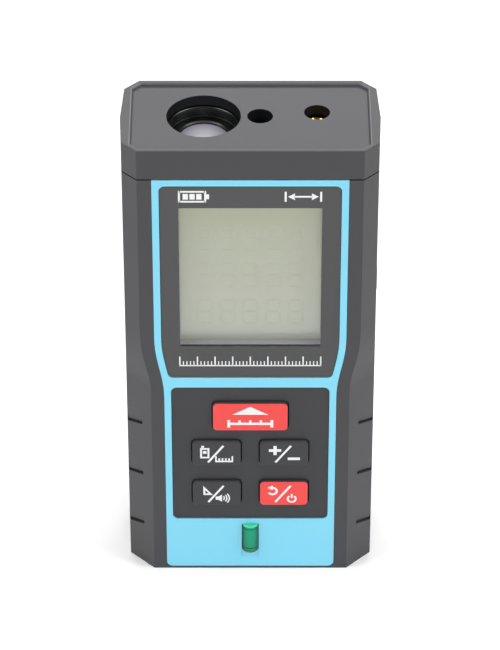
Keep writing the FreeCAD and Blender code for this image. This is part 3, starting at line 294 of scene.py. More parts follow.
def grained(nodes, shader, scale, strength):
    grain = nodes.add("ShaderNodeGroup", {"Grain Scale": scale}, node_tree=group_tree("grain"))
    bumped(nodes, shader, grain.outputs["Height"], strength)


def edge_wear_and_highlight(color, gain, lift):
    """The paler colour that a material shows on its edges: partly wear, partly painted highlight."""
    return tuple(min(1.0, channel * gain + lift) for channel in color[:3]) + (1.0,)


def grained_material(name, color, roughness, edge_color, edge, smudge, grain_scale, grain, **sockets):
    """A surface with paler edges, partly wear and partly painted highlight, and a moulded texture."""
    material, nodes, shader = new_material(name, **sockets)
    wear_and_edge_highlight(nodes, shader, color, roughness, edge_color, edge, smudge)
    grained(nodes, shader, grain_scale, grain)
    return material


def moulded_plastic(name, color, roughness, grain_scale=3000.0, grain=0.35, edge=0.25, smudge=0.08,
                    coat=0.0, lighter=1.6):
    """Plastic or rubber with a moulded texture and slightly paler edges."""
    return grained_material(name, color, roughness, edge_wear_and_highlight(color, lighter, 0.01), edge, smudge,
                            grain_scale, grain, Coat_Weight=coat, Coat_Roughness=0.25)


def metal(name, color, roughness, marks=(1, 1, 14), strength=0.15):
    """Metal with tool marks and bright edges, partly painted highlight."""
    material, nodes, shader = new_material(name, Metallic=1.0)
    wear_and_edge_highlight(nodes, shader, color, roughness, edge_wear_and_highlight(color, 1.15, 0.05), 0.5, 0.1, 0.25 * MM)
    effect = nodes.add("ShaderNodeGroup", {"Stretch": marks}, node_tree=group_tree("marks"))
    bumped(nodes, shader, effect.outputs["Height"], strength, 0.02 * MM)
    return material


def box_mask(nodes, low, high, soft):
    """1 inside a box in X and Z, with a narrow soft border."""
    parts = nodes.add("ShaderNodeSeparateXYZ", {0: nodes.place()}).outputs
    mask = None
    for axis, start, end in (("X", low[0], high[0]), ("Z", low[1], high[1])):
        for edge, sign in ((start, 1.0), (end, -1.0)):
            ramp = nodes.math("SUBTRACT", parts[axis], edge)
            ramp = nodes.math("MULTIPLY", ramp, sign / soft, clamp=True)
            mask = ramp if mask is None else nodes.math("MULTIPLY", mask, ramp)
    return mask


def window_material():
    """Clear window with a dark printed border; only the viewing area lets light through."""
    low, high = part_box("lcd_glass")
    margin = chosen("display").glass_margin
    start = (low.x + margin, low.z + margin)
    end = (high.x - margin, high.z - margin)
    material, nodes, shader = new_material("Printed window", IOR=ACRYLIC, Specular_IOR_Level=0.5)
    view = box_mask(nodes, start, end, 0.04 * MM)
    wear_and_edge_highlight(nodes, shader, paint("window_color"), 0.16, srgb(150, 150, 155), 0.15, 0.05)
    output = [node for node in nodes.tree.nodes if node.type == "OUTPUT_MATERIAL"][0]
    fresnel = nodes.add("ShaderNodeFresnel", {"IOR": ACRYLIC})
    inner = nodes.add("ShaderNodeNewGeometry").outputs["Backfacing"]
    mirror = nodes.math("MULTIPLY", fresnel.outputs[0], nodes.math("SUBTRACT", 1.0, inner))
    through = nodes.add("ShaderNodeBsdfTransparent", {"Color": WHITE})
    shine = nodes.add("ShaderNodeBsdfGlossy", {"Roughness": 0.05})
    pane = nodes.add("ShaderNodeMixShader", {0: mirror, 1: through.outputs[0], 2: shine.outputs[0]})
    whole = nodes.add("ShaderNodeMixShader", {0: view, 1: shader.outputs[0], 2: pane.outputs[0]})
    nodes.link(whole.outputs[0], output.inputs["Surface"])
    return material


def lcd_material():
    """Reflective display: grey-green, paler to the bottom, slightly cloudy."""
    low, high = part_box("lcd_glass")
    material, nodes, shader = new_material(
        "Display panel", Roughness=0.3, Coat_Weight=0.35, Coat_Roughness=0.12)
    place = nodes.place()
    upright = nodes.add("ShaderNodeSeparateXYZ", {0: place}).outputs["Z"]
    share = nodes.math("SUBTRACT", upright, low.z)
    share = nodes.math("DIVIDE", share, high.z - low.z, clamp=True)
    tone = nodes.mix(share, paint("lcd_low_color"), paint("lcd_top_color"))
    cloud = nodes.multiply_add(nodes.noise(place, 60.0, 3.0), 0.06, 0.97)
    nodes.link(nodes.times(tone, nodes.grey(cloud)), shader.inputs["Base Color"])
    grained(nodes, shader, 2500, 0.04)
    return material


def unlit_material():
    """A display figure that is off: the panel's middle tone, a trace darker."""
    material, nodes, shader = new_material("Unlit figure", Roughness=0.35)
    tone = nodes.mix(0.5, paint("lcd_low_color"), paint("lcd_top_color"))
    nodes.link(nodes.times(tone, (0.988, 0.988, 0.988, 1)), shader.inputs["Base Color"])
    return material


def tinted_glass(name, color, transmission, roughness, coat=0.5):
    material, nodes, shader = new_material(name, IOR=1.45, Transmission_Weight=transmission,
                                           Coat_Weight=coat, Coat_Roughness=0.05, Roughness=roughness)
    cloud = nodes.noise(nodes.place(), 300.0)
    tint = nodes.grey(nodes.multiply_add(cloud, 0.08, 0.96))
    nodes.link(nodes.times(color, tint), shader.inputs["Base Color"])
    bumped(nodes, shader, cloud, 0.05, 0.01 * MM)
    return material


def vial_material():
    """Green acrylic tube: painted highlight on its upper end, painted shade on its flanks and at its foot, and
    the stopper's rim seen through its foot.
    """
    foot, top = round_part("vial_tube")[:2]
    plug_top = round_part("vial_plug")[1]
    material, nodes, shader = new_material(
        "Green vial", IOR=ACRYLIC, Roughness=0.2, Transmission_Weight=0.12, Specular_IOR_Level=0.15,
        Coat_Weight=0.12, Coat_Roughness=0.04)
    wide = 1.0
    soft = 0.06 * MM
    tone = srgb(22, 178, 134)
    # Bands up the tube: a pale painted highlight on the upper end, a darker band just below it, the stopper's
    # colour, the dark joint at the stopper's top, and painted shade at the foot.
    bands = ((top - 0.16 * MM, top + wide, srgb(92, 255, 200)),
             (top - 0.9 * MM, top - 0.45 * MM, srgb(14, 128, 90)),
             (foot, plug_top, srgb(46, 158, 108)),
             (plug_top - 0.06 * MM, plug_top + 0.26 * MM, srgb(8, 74, 50)),
             (foot - wide, foot + 0.3 * MM, srgb(10, 84, 60)))
    for start, end, color in bands:
        tone = nodes.mix(box_mask(nodes, (-wide, start), (wide, end), soft), tone, color)
    # Darker where the surface turns away from the view: painted shade on the flanks.
    facing = nodes.add("ShaderNodeLayerWeight", {"Blend": 0.5}).outputs["Facing"]
    flank_shade_share = nodes.math("MULTIPLY", nodes.math("SUBTRACT", facing, 0.2), 2.3, clamp=True)
    painted_flank_shade = nodes.times(tone, srgb(60, 110, 100))
    nodes.link(nodes.mix(flank_shade_share, tone, painted_flank_shade), shader.inputs["Base Color"])
    bumped(nodes, shader, nodes.noise(nodes.place(), 300.0), 0.05, 0.01 * MM)
    return material


def lens_material():
    """Coated receiver lens: pale, with the faint violet of its coating near the rim; the pale tone and the
    violet are both painted reflection.
    """
    middle, radius = round_part("receiver_lens")[2:]
    material, nodes, shader = new_material(
        "Coated lens", Coat_Weight=0.2, Coat_Roughness=0.03, Roughness=0.6, Specular_IOR_Level=0.1)
    shifted = nodes.add("ShaderNodeVectorMath", {0: nodes.place(), 1: tuple(middle)}, operation="SUBTRACT")
    flat = nodes.add("ShaderNodeVectorMath", {0: shifted.outputs[0], 1: (1, 1, 0)}, operation="MULTIPLY")
    away = nodes.add("ShaderNodeVectorMath", {0: flat.outputs[0]}, operation="LENGTH").outputs["Value"]
    share = nodes.math("POWER", nodes.math("DIVIDE", away, radius, clamp=True), 2.5)
    # Pale centre turning violet towards the rim: painted reflection.
    nodes.link(nodes.mix(share, paint("lens_color"), srgb(130, 120, 150)), shader.inputs["Base Color"])
    grained(nodes, shader, 1500, 0.02)
    return material


def board_material():
    """Solder mask with tracks seen through it."""
    material, nodes, shader = new_material("Circuit board", Coat_Weight=0.4, Coat_Roughness=0.2)
    tracks = nodes.add("ShaderNodeTexBrick", {"Vector": nodes.place(), "Scale": 420.0, "Mortar Size": 0.03,
                                             "Color1": (0, 0, 0, 1), "Color2": (0.3, 0.3, 0.3, 1),
                                             "Mortar": WHITE})
    tone = nodes.mix(tracks.outputs["Color"], srgb(16, 84, 44), srgb(34, 122, 62))
    wear_and_edge_highlight(nodes, shader, tone, 0.35, srgb(150, 140, 80), 0.3, 0.06, 0.2 * MM)
    bumped(nodes, shader, tracks.outputs["Color"], 0.2, 0.02 * MM)
    return material


def foil_material():
    material, nodes, shader = new_material("Cell foil", Metallic=0.85)
    wear_and_edge_highlight(nodes, shader, srgb(205, 208, 212), 0.32, srgb(240, 240, 240), 0.3, 0.12)
    bumped(nodes, shader, nodes.noise(nodes.place(), 160.0, 5.0, Distortion=1.2), 0.35, 0.2 * MM)
    return material


def foam_material():
    material, nodes, shader = new_material("Foam", Roughness=0.95, Sheen_Weight=0.3)
    cells = nodes.add("ShaderNodeTexVoronoi", {"Vector": nodes.place(), "Scale": 1800.0}).outputs["Distance"]
    nodes.link(nodes.mix(cells, srgb(92, 92, 96), srgb(58, 58, 62)), shader.inputs["Base Color"])
    bumped(nodes, shader, cells, 0.8, 0.2 * MM)
    return material


def floor_material():
    material, nodes, shader = new_material(
        "Pale floor", Roughness=0.7, Emission_Strength=0.12, Emission_Color=WHITE)
    cloud = nodes.noise(nodes.place(), 6.0)
    nodes.link(nodes.mix(cloud, srgb(250, 250, 250), srgb(255, 255, 255)), shader.inputs["Base Color"])
    return material


# Each look is a maker with the values it is called with; a colour given by name is a setting.
# Edge colours in these rows are partly wear, partly painted highlight on rounded edges.
LOOKS = {
    "casing": (moulded_plastic, "Charcoal casing", "casing_color", 0.47, 3400, 0.42, 0.35, 0.07),
    "frame": (grained_material, "Sky blue frame", "frame_color", 0.36, srgb(205, 238, 255), 0.35, 0.05,
              2600, 0.12, {"Coat_Weight": 0.15, "Coat_Roughness": 0.35}),
    "rubber": (moulded_plastic, "Charcoal rubber", "rubber_color", 0.62, 5200, 0.3, 0.45, {"lighter": 1.8}),
    "red_key": (grained_material, "Red rubber", "key_color", 0.5, srgb(255, 150, 150), 0.3, 0.05,
                5200, 0.2, {"Subsurface_Weight": 0.08, "Subsurface_Scale": 0.0008}),
    "print": (grained_material, "White print", srgb(250, 250, 250), 0.45, srgb(255, 255, 255), 0.0, 0.05,
              7000, 0.15),
    "window": (window_material,),
    "lcd": (lcd_material,),
    "unlit": (unlit_material,),
    "lens": (lens_material,),
    "board": (board_material,),
    "foil": (foil_material,),
    "foam": (foam_material,),
    "floor": (floor_material,),
    "gasket": (moulded_plastic, "Black seal", srgb(22, 22, 24), 0.8, {"edge": 0.1}),
    "optic_black": (moulded_plastic, "Matt black optic", srgb(26, 26, 27), 0.55, 4000, 0.2, 0.6,
                    {"lighter": 2.6}),
    # Paler colour for the rim's inner wall: painted highlight.
    "polished": (moulded_plastic, "Polished rim", srgb(86, 86, 92), 0.35, 3400, 0.2, 0.3),
    "anodised": (metal, "Black anodising", srgb(66, 68, 66), 0.34, (1, 1, 16), 0.2),
    # Near-black hole walls: painted shade, their paler edges partly painted highlight.
    "bore": (moulded_plastic, "Satin black bore", srgb(16, 17, 20), 0.5, 2500, 0.05, 0.3, {"lighter": 3.0}),
    "chip": (moulded_plastic, "Chip package", srgb(38, 38, 40), 0.6, 4500, 0.3),
    "label": (moulded_plastic, "Satin label", srgb(120, 122, 126), 0.35, 6000, 0.1, 0.4, {"coat": 0.2}),
    "diffuser": (moulded_plastic, "White diffuser", srgb(228, 230, 228), 0.5, 2500, 0.1, 0.1,
                 {"lighter": 1.0}),
    "lining": (moulded_plastic, "Pale foam", srgb(166, 167, 168), 0.8, 3500, 0.3, 0.1),
    "nylon": (moulded_plastic, "Nylon", srgb(226, 222, 210), 0.45, 2500, 0.1, 0.2, {"lighter": 1.0}),
    "amber": (moulded_plastic, "Amber tape", srgb(214, 150, 40), 0.3, 1500, 0.2, 0.3, {"coat": 0.3}),
    "lead_red": (moulded_plastic, "Red insulation", srgb(180, 22, 22), 0.4, 1500, 0.1, 0.1),
    "lead_black": (moulded_plastic, "Black insulation", srgb(28, 28, 28), 0.4, 1500, 0.1, 0.1),
    "steel": (metal, "Plated steel", srgb(196, 197, 200), 0.28),
    "black_steel": (metal, "Blackened steel", srgb(52, 52, 55), 0.34),
    "cast": (metal, "Cast aluminium", srgb(190, 192, 196), 0.48, (1, 1, 1), 0.4),
    "brass": (metal, "Turned brass", srgb(226, 172, 88), 0.2, (1, 1, 20), 0.12),
    "gold": (metal, "Gold contact", srgb(236, 190, 96), 0.22, (1, 1, 8), 0.08),
    "vial": (vial_material,),
    "fluid": (tinted_glass, "Green fluid", srgb(40, 185, 105), 0.35, 0.1, 0.2),
    "bubble": (tinted_glass, "Bubble", srgb(215, 250, 225), 0.6, 0.02),
    "plug": (tinted_glass, "Vial plug", srgb(150, 180, 60), 0.3, 0.2, 0.3),
}

SLOT_LOOKS = {
    "casing_black": "casing", "frame_blue": "frame", "window_dark": "window", "lcd_grey": "lcd",
    "keypad_rubber": "rubber", "key_red": "red_key", "vial_acrylic": "vial", "vial_plug_yellow": "plug",
    "vial_fluid_green": "fluid", "bubble_clear": "bubble", "optic_black": "optic_black",
    "optic_aluminium": "cast", "lens_glass": "lens", "brass": "brass", "steel": "steel",
    "screw_black": "black_steel", "board_green": "board", "chip_black": "chip",
    "diffuser_white": "diffuser", "adhesive_black": "gasket", "cell_foil": "foil",
    "strip_amber": "amber", "plug_white": "nylon", "lead_red": "lead_red", "lead_black": "lead_black",
    "foam_grey": "foam", "label_silver": "label", "gasket_black": "gasket",
}

BUILT = {}


def look(key):
    """The material of a look, made the first time it is asked for."""
    if key not in BUILT:
        maker, *values = LOOKS[key]
        named = values.pop() if values and isinstance(values[-1], dict) else {}
        if len(values) > 1 and isinstance(values[1], str):
            values[1] = paint(values[1])
        BUILT[key] = maker(*values, **named)
    return BUILT[key]


def look_of(node):
    return look(SLOT_LOOKS[SLOT_OF[node]])


# ---- Meshes -------------------------------------------------------------------------------
SAME_PLACE = 2e-7
FLAT_ANGLE = math.radians(0.6)
EDGE_ANGLE = math.radians(22.0)
PLAIN_ANGLE = math.radians(32.0)
EASED_SMOOTH = 28
LATHE_SMOOTH = 32
KEY_SMOOTH = 40


def round_over(bm, edges, width):
    """Rounds some edges and marks the new faces as rounding."""
    flag = bm.faces.layers.int["rounding"]
    made = bmesh.ops.bevel(bm, geom=edges, offset=width, segments=3, profile=0.5, affect="EDGES",
                           clamp_overlap=True)
    for face in made["faces"]:
        face[flag] = 1


def even_normals(bm):
    """A normal for every corner, taken from the plain faces beside it, so flat faces shade evenly."""
    flag = bm.faces.layers.int["rounding"]
    least = math.cos(PLAIN_ANGLE)
    normals = []
    for face in bm.faces:
        for corner in face.loops:
            near = [other for other in corner.vert.link_faces if other.normal.dot(face.normal) > least]
            plain = [other for other in near if not other[flag]]
            total = Vector()
            for other in plain or near:
                total += other.normal * other.calc_area()
            normals.append(total.normalized())
    return normals


def eased_copy(node, name, width, wanted=lambda point: True):
    """A copy of a CAD node's mesh with its chosen sharp edges rounded over."""
    bm = bmesh.new()
    bm.from_mesh(NODES[node].data)
    bm.faces.layers.int.new("rounding")
    bmesh.ops.remove_doubles(bm, verts=bm.verts, dist=SAME_PLACE)
    bmesh.ops.dissolve_limit(bm, angle_limit=FLAT_ANGLE, verts=bm.verts, edges=bm.edges)
    chosen_edges = []
    for edge in bm.edges:
        if len(edge.link_faces) != 2 or edge.calc_face_angle(0.0) < EDGE_ANGLE:
            continue
        if wanted((edge.verts[0].co + edge.verts[1].co) / 2):
            chosen_edges.append(edge)
    round_over(bm, chosen_edges, width)
    bmesh.ops.triangulate(bm, faces=[face for face in bm.faces if len(face.verts) > 4])
    bm.normal_update()
    normals = even_normals(bm)
    piece = mesh_from(name, bm, look_of(node), EASED_SMOOTH)
    piece.data.normals_split_custom_set(normals)
    return piece


def tube_walls(bm, first, second):
    """Four-sided faces between two closed rings of equal length."""
    count = len(first)
    return [bm.faces.new((first[index], first[(index + 1) % count],
                          second[(index + 1) % count], second[index])) for index in range(count)]


def lathe(name, profile, middle, material, steps=72, closed=True):
    """Turns a profile of (radius, height) pairs round an upright line through middle."""
    bm = bmesh.new()
    rings = []
    for radius, height in profile:
        if radius < SAME_PLACE:
            rings.append([bm.verts.new((middle.x, middle.y, height))])
            continue
        ring = []
        for step in range(steps):
            angle = 2 * math.pi * step / steps
            ring.append(bm.verts.new((middle.x + radius * math.cos(angle),
                                      middle.y + radius * math.sin(angle), height)))
        rings.append(ring)
    pairs = list(zip(rings, rings[1:]))
    if closed:
        pairs.append((rings[-1], rings[0]))
    for first, second in pairs:
        for step in range(steps):
            following = (step + 1) % steps
            if len(first) == 1 and len(second) == 1:
                break
            if len(first) == 1:
                bm.faces.new((first[0], second[step], second[following]))
            elif len(second) == 1:
                bm.faces.new((first[following], first[step], second[0]))
            else:
                bm.faces.new((first[following], first[step], second[step], second[following]))
    bmesh.ops.recalc_face_normals(bm, faces=bm.faces)
    return mesh_from(name, bm, material, LATHE_SMOOTH)


def rounded_rectangle(low, high, radius, steps=7):
    """Points round a rectangle with rounded corners, in X and Z."""
    points = []
    corners = ((high[0] - radius, high[1] - radius, 0), (low[0] + radius, high[1] - radius, 90),
               (low[0] + radius, low[1] + radius, 180), (high[0] - radius, low[1] + radius, 270))
    for x, z, start in corners:
        for step in range(steps + 1):
            angle = math.radians(start + 90 * step / steps)
            points.append((x + radius * math.cos(angle), z + radius * math.sin(angle)))
    return points


class Print:
    """Flat marks in X and Z, each raised a little from a face that looks along -Y."""

    def __init__(self, face_y):
        self.bm = bmesh.new()
        self.back = face_y
        self.front = face_y - chosen("display").print_ink

    def area(self, points):
        back = [self.bm.verts.new((x, self.back, z)) for x, z in points]
        front = [self.bm.verts.new((x, self.front, z)) for x, z in points]
        self.bm.faces.new(back)
        self.bm.faces.new(front)
        tube_walls(self.bm, back, front)

    def bar(self, start, end, width):
        first, last = Vector(start), Vector(end)
        along = last - first
        side = Vector((-along.y, along.x)).normalized() * width / 2
        self.area([first + side, first - side, last - side, last + side])

    def block(self, low, high):
        self.area([low, (high[0], low[1]), high, (low[0], high[1])])

    def arc(self, middle, radius, width, start, end, steps=14):
        """A stroke round part of a circle, from one angle to the other in degrees."""
        inner, outer = [], []
        for step in range(steps + 1):
            angle = math.radians(start + (end - start) * step / steps)
            ray = Vector((math.cos(angle), math.sin(angle)))
            inner.append(Vector(middle) + ray * (radius - width / 2))
            outer.append(Vector(middle) + ray * (radius + width / 2))
        self.area(outer + inner[::-1])

    def finish(self, name, node):
        """Keeps the marks as one piece that rides with a node."""
        bmesh.ops.recalc_face_normals(self.bm, faces=self.bm.faces)
        return settle(mesh_from(name, self.bm, look("print")), like=node)


# ---- Geometry Nodes -----------------------------------------------------------------------
class Tree(Nodes):
    """A geometry node tree with named inputs, ended by Realize Instances and Set Material."""

    def __init__(self, name, inputs):
        tree = bpy.data.node_groups.new(name, "GeometryNodeTree")
        tree.interface.new_socket("Geometry", in_out="INPUT", socket_type="NodeSocketGeometry")
        self.sockets = {}
        for label, kind, default in inputs:
            socket = tree.interface.new_socket(label, in_out="INPUT", socket_type=kind)
            if default is not None:
                socket.default_value = default
            self.sockets[label] = socket.identifier
        finish = tree.interface.new_socket("Material", in_out="INPUT", socket_type="NodeSocketMaterial")
        self.sockets["Material"] = finish.identifier
        tree.interface.new_socket("Geometry", in_out="OUTPUT", socket_type="NodeSocketGeometry")
        super().__init__(tree)
        self.given = self.add("NodeGroupInput").outputs

    def end(self, geometry):
        real = self.add("GeometryNodeRealizeInstances", {0: geometry})
        finished = self.add("GeometryNodeSetMaterial",
                            {"Geometry": real.outputs[0], "Material": self.given["Material"]})
        shaded = self.add("GeometryNodeSetShadeSmooth",
                          {"Geometry": finished.outputs[0], "Shade Smooth": False})
        self.add("NodeGroupOutput", {0: shaded.outputs[0]})
        return self

    def join(self, *parts):
        node = self.add("GeometryNodeJoinGeometry")
        for part in parts:
            self.link(part, node.inputs[0])
        return node.outputs[0]

    def moved(self, geometry, offset):
        return self.add("GeometryNodeTransform", {"Geometry": geometry, "Translation": offset}).outputs[0]

    def triple(self, x=0.0, y=0.0, z=0.0):
        return self.add("ShaderNodeCombineXYZ", {0: x, 1: y, 2: z}).outputs[0]

    def scaled(self, value, factor):
        return self.math("MULTIPLY", value, factor)

    def cube(self, size):
        return self.add("GeometryNodeMeshCube", {"Size": size}).outputs[0]

    def cylinder(self, sides, radius, depth):
        inputs = {"Vertices": sides, "Radius": radius, "Depth": depth}
        return self.add("GeometryNodeMeshCylinder", inputs).outputs[0]

    def circle(self, steps, radius):
        return self.add("GeometryNodeCurvePrimitiveCircle", {"Resolution": steps, "Radius": radius}).outputs[0]

    def line(self, count, start, step):
        inputs = {"Count": count, "Start Location": start, "Offset": step}
        return self.add("GeometryNodeMeshLine", inputs, mode="OFFSET").outputs[0]

    def scattered(self, points, instance, **more):
        inputs = {"Points": points, "Instance": instance, **more}
        return self.add("GeometryNodeInstanceOnPoints", inputs).outputs[0]


TREES = {}


def screw_tree():
    """Pan head screws with a cross recess, one on each point it is given."""
    tree = Tree("Screws", [
        ("Head Radius", "NodeSocketFloat", 0.002), ("Head Height", "NodeSocketFloat", 0.0013),
        ("Shank Radius", "NodeSocketFloat", 0.00115), ("Shank Length", "NodeSocketFloat", 0.014),
        ("Recess Width", "NodeSocketFloat", 0.00045), ("Recess Depth", "NodeSocketFloat", 0.0007),
        ("Turn", "NodeSocketVector", (0.0, 0.0, 0.0)), ("Cross Angle", "NodeSocketVector", (0.0, 0.0, 0.5))])
    given = tree.given
    sides = 40
    eased = tree.scaled(given["Head Height"], 0.3)
    straight = tree.math("SUBTRACT", given["Head Height"], eased)
    head = tree.cylinder(sides, given["Head Radius"], straight)
    head = tree.moved(head, tree.triple(z=tree.scaled(straight, 0.5)))
    brim = tree.add("GeometryNodeMeshCone",
                    {"Vertices": sides, "Radius Top": tree.scaled(given["Head Radius"], 0.84),
                     "Radius Bottom": given["Head Radius"], "Depth": eased})
    brim = tree.moved(brim.outputs[0], tree.triple(z=straight))
    long_side = tree.scaled(given["Head Radius"], 1.15)
    deep = tree.scaled(given["Recess Depth"], 2.0)
    cutters = []
    for size_x, size_y in ((long_side, given["Recess Width"]), (given["Recess Width"], long_side)):
        cube = tree.cube(tree.triple(size_x, size_y, deep))
        cutters.append(tree.moved(cube, tree.triple(z=given["Head Height"])))
    solid = tree.add("GeometryNodeMeshBoolean", operation="UNION", solver="EXACT")
    tree.link(head, solid.inputs[1])
    tree.link(brim, solid.inputs[1])
    cut = tree.add("GeometryNodeMeshBoolean", operation="DIFFERENCE", solver="EXACT")
    tree.link(solid.outputs[0], cut.inputs[0])
    for cutter in cutters:
        turned = tree.add("GeometryNodeTransform", {"Geometry": cutter, "Rotation": given["Cross Angle"]})
        tree.link(turned.outputs[0], cut.inputs[1])
    shank = tree.cylinder(32, given["Shank Radius"], given["Shank Length"])
    shank = tree.moved(shank, tree.triple(z=tree.scaled(given["Shank Length"], -0.5)))
    whole = tree.join(cut.outputs[0], shank)
    return tree.end(tree.scattered(given["Geometry"], whole, Rotation=given["Turn"]))


def row_tree():
    """A row of small bars; every so many is a long one. Used for scales, contacts and ribs."""
    tree = Tree("Row of bars", [
        ("Count", "NodeSocketInt", 10), ("Pitch", "NodeSocketFloat", 0.001),
        ("Bar Size", "NodeSocketVector", (0.0001, 0.0001, 0.001)), ("Long Every", "NodeSocketInt", 5),
        ("Long Scale", "NodeSocketVector", (1.0, 1.0, 1.8)), ("Start", "NodeSocketVector", (0.0, 0.0, 0.0)),
        ("Step Direction", "NodeSocketVector", (1.0, 0.0, 0.0))])
    given = tree.given
    step = tree.add("ShaderNodeVectorMath", {0: given["Step Direction"], "Scale": given["Pitch"]},
                    operation="SCALE").outputs[0]
    line = tree.line(given["Count"], given["Start"], step)
    bar_height = tree.add("ShaderNodeSeparateXYZ", {0: given["Bar Size"]}).outputs[2]
    base = tree.moved(tree.cube(given["Bar Size"]), tree.triple(z=tree.scaled(bar_height, 0.5)))
    index = tree.add("GeometryNodeInputIndex").outputs[0]
    left = tree.math("MODULO", index, given["Long Every"])
    is_long = tree.add("FunctionNodeCompare", {0: left, 1: 0.5}, operation="LESS_THAN").outputs[0]
    scale = tree.add("GeometryNodeSwitch", input_type="VECTOR")
    tree.link(is_long, scale.inputs[0])
    scale.inputs[1].default_value = (1.0, 1.0, 1.0)
    tree.link(given["Long Scale"], scale.inputs[2])
    return tree.end(tree.scattered(line, base, Scale=scale.outputs[0]))


def ring_tree():
    """Equal rings, one above the other: the stray-light baffles in a bore."""
    tree = Tree("Stacked rings", [
        ("Ring Radius", "NodeSocketFloat", 0.007), ("Wire Radius", "NodeSocketFloat", 0.0001),
        ("Count", "NodeSocketInt", 4), ("Pitch", "NodeSocketFloat", 0.0004),
        ("Start", "NodeSocketVector", (0.0, 0.0, 0.0))])
    given = tree.given
    path = tree.circle(72, given["Ring Radius"])
    section = tree.circle(8, given["Wire Radius"])
    ring = tree.add("GeometryNodeCurveToMesh", {"Curve": path, "Profile Curve": section}).outputs[0]
    line = tree.line(given["Count"], given["Start"], tree.triple(z=given["Pitch"]))
    return tree.end(tree.scattered(line, ring))


def segment_tree():
    """Unlit seven-bar figures of a display, in rows and columns."""
    tree = Tree("Unlit figures", [
        ("Columns", "NodeSocketInt", 5), ("Rows", "NodeSocketInt", 3),
        ("Figure Width", "NodeSocketFloat", 0.003), ("Figure Height", "NodeSocketFloat", 0.006),
        ("Bar Width", "NodeSocketFloat", 0.0005), ("Column Pitch", "NodeSocketFloat", 0.0048),
        ("Row Pitch", "NodeSocketFloat", 0.0095), ("Middle", "NodeSocketVector", (0.0, 0.0, 0.0)),
        ("Ink", "NodeSocketFloat", 0.00002)])
    given = tree.given
    half_w = tree.scaled(given["Figure Width"], 0.5)
    half_h = tree.scaled(given["Figure Height"], 0.5)
    quarter = tree.scaled(given["Figure Height"], 0.25)
    room = tree.scaled(given["Bar Width"], 1.3)
    flat = tree.math("SUBTRACT", given["Figure Width"], room)
    upright = tree.math("SUBTRACT", half_h, room)
    bars = []
    for share in (-1.0, 0.0, 1.0):
        cube = tree.cube(tree.triple(flat, given["Ink"], given["Bar Width"]))
        bars.append(tree.moved(cube, tree.triple(z=tree.scaled(half_h, share))))
    for side in (-1.0, 1.0):
        for level in (-1.0, 1.0):
            cube = tree.cube(tree.triple(given["Bar Width"], given["Ink"], upright))
            place = tree.triple(tree.scaled(half_w, side), 0.0, tree.scaled(quarter, level))
            bars.append(tree.moved(cube, place))
    across = tree.scaled(given["Column Pitch"], tree.math("SUBTRACT", given["Columns"], 1.0))
    down = tree.scaled(given["Row Pitch"], tree.math("SUBTRACT", given["Rows"], 1.0))
    grid = tree.add("GeometryNodeMeshGrid", {"Size X": across, "Size Y": down, "Vertices X": given["Columns"],
                                             "Vertices Y": given["Rows"]})
    stood = tree.add("GeometryNodeTransform", {"Geometry": grid.outputs[0], "Translation": given["Middle"],
                                               "Rotation": (math.pi / 2, 0.0, 0.0)})
    return tree.end(tree.scattered(stood.outputs[0], tree.join(*bars)))


TREE_MAKERS = {"screws": screw_tree, "row": row_tree, "rings": ring_tree, "figures": segment_tree}


def grown(name, key, material, points=(), **values):
    """Runs a geometry node tree over some points and keeps the result as a plain mesh."""
    if key not in TREES:
        TREES[key] = TREE_MAKERS[key]()
    tree = TREES[key]
    seed = bpy.data.meshes.new(name)
    seed.from_pydata([tuple(point) for point in points], [], [])
    piece = new_object(name, seed)
    modifier = piece.modifiers.new("Grow", "NODES")
    modifier.node_group = tree.tree
    for label, value in values.items():
        modifier[tree.sockets[label.replace("_", " ")]] = value
    modifier[tree.sockets["Material"]] = material
    depsgraph = bpy.context.evaluated_depsgraph_get()
    result = bpy.data.meshes.new_from_object(piece.evaluated_get(depsgraph), depsgraph=depsgraph)
    piece.modifiers.clear()
    piece.data = result
    smoothed(result, 30)
    return piece


# ---- Sizes and colours that a user would change -------------------------------------------
def color_setting(name, description, default):
    return bpy.props.FloatVectorProperty(
        name=name, description=description, subtype="COLOR", size=3, min=0, max=1, default=default)


def length_setting(name, description, millimetres):
    return bpy.props.FloatProperty(
        name=name, description=description, default=millimetres * MM, unit="LENGTH")


class METER_PG_materials(bpy.types.PropertyGroup):
    casing_color: color_setting("Casing", "Colour of the moulded casing", (0.0445, 0.0445, 0.051))
    frame_color: color_setting("Front frame", "Colour of the inlaid frame", (0.237, 0.748, 0.97))
    rubber_color: color_setting("Keypad", "Colour of the mat and the dark keys", (0.040, 0.040, 0.043))
    key_color: color_setting("Red keys", "Colour of the measure and clear keys", (0.985, 0.066, 0.058))
    window_color: color_setting("Window border", "Colour printed behind the window", (0.060, 0.060, 0.063))
    lcd_top_color: color_setting("Display, top", "Colour of the panel at its top", (0.447, 0.474, 0.322))
    lcd_low_color: color_setting("Display, bottom", "Colour of the panel at its foot", (0.527, 0.547, 0.480))
    lens_color: color_setting("Lens", "Colour seen in the receiver lens", (0.39, 0.38, 0.41))


class METER_PG_display(bpy.types.PropertyGroup):
    glass_margin: length_setting("Glass margin", "Display glass beyond its viewing area", 1.3)
    print_ink: length_setting("Ink thickness", "Height of printed marks", 0.03)
    tick_pitch: length_setting("Tick pitch", "Distance between the marks of the scale", 0.75)
    tick_count: bpy.props.IntProperty(name="Ticks", description="Marks in the scale", default=41, min=2)


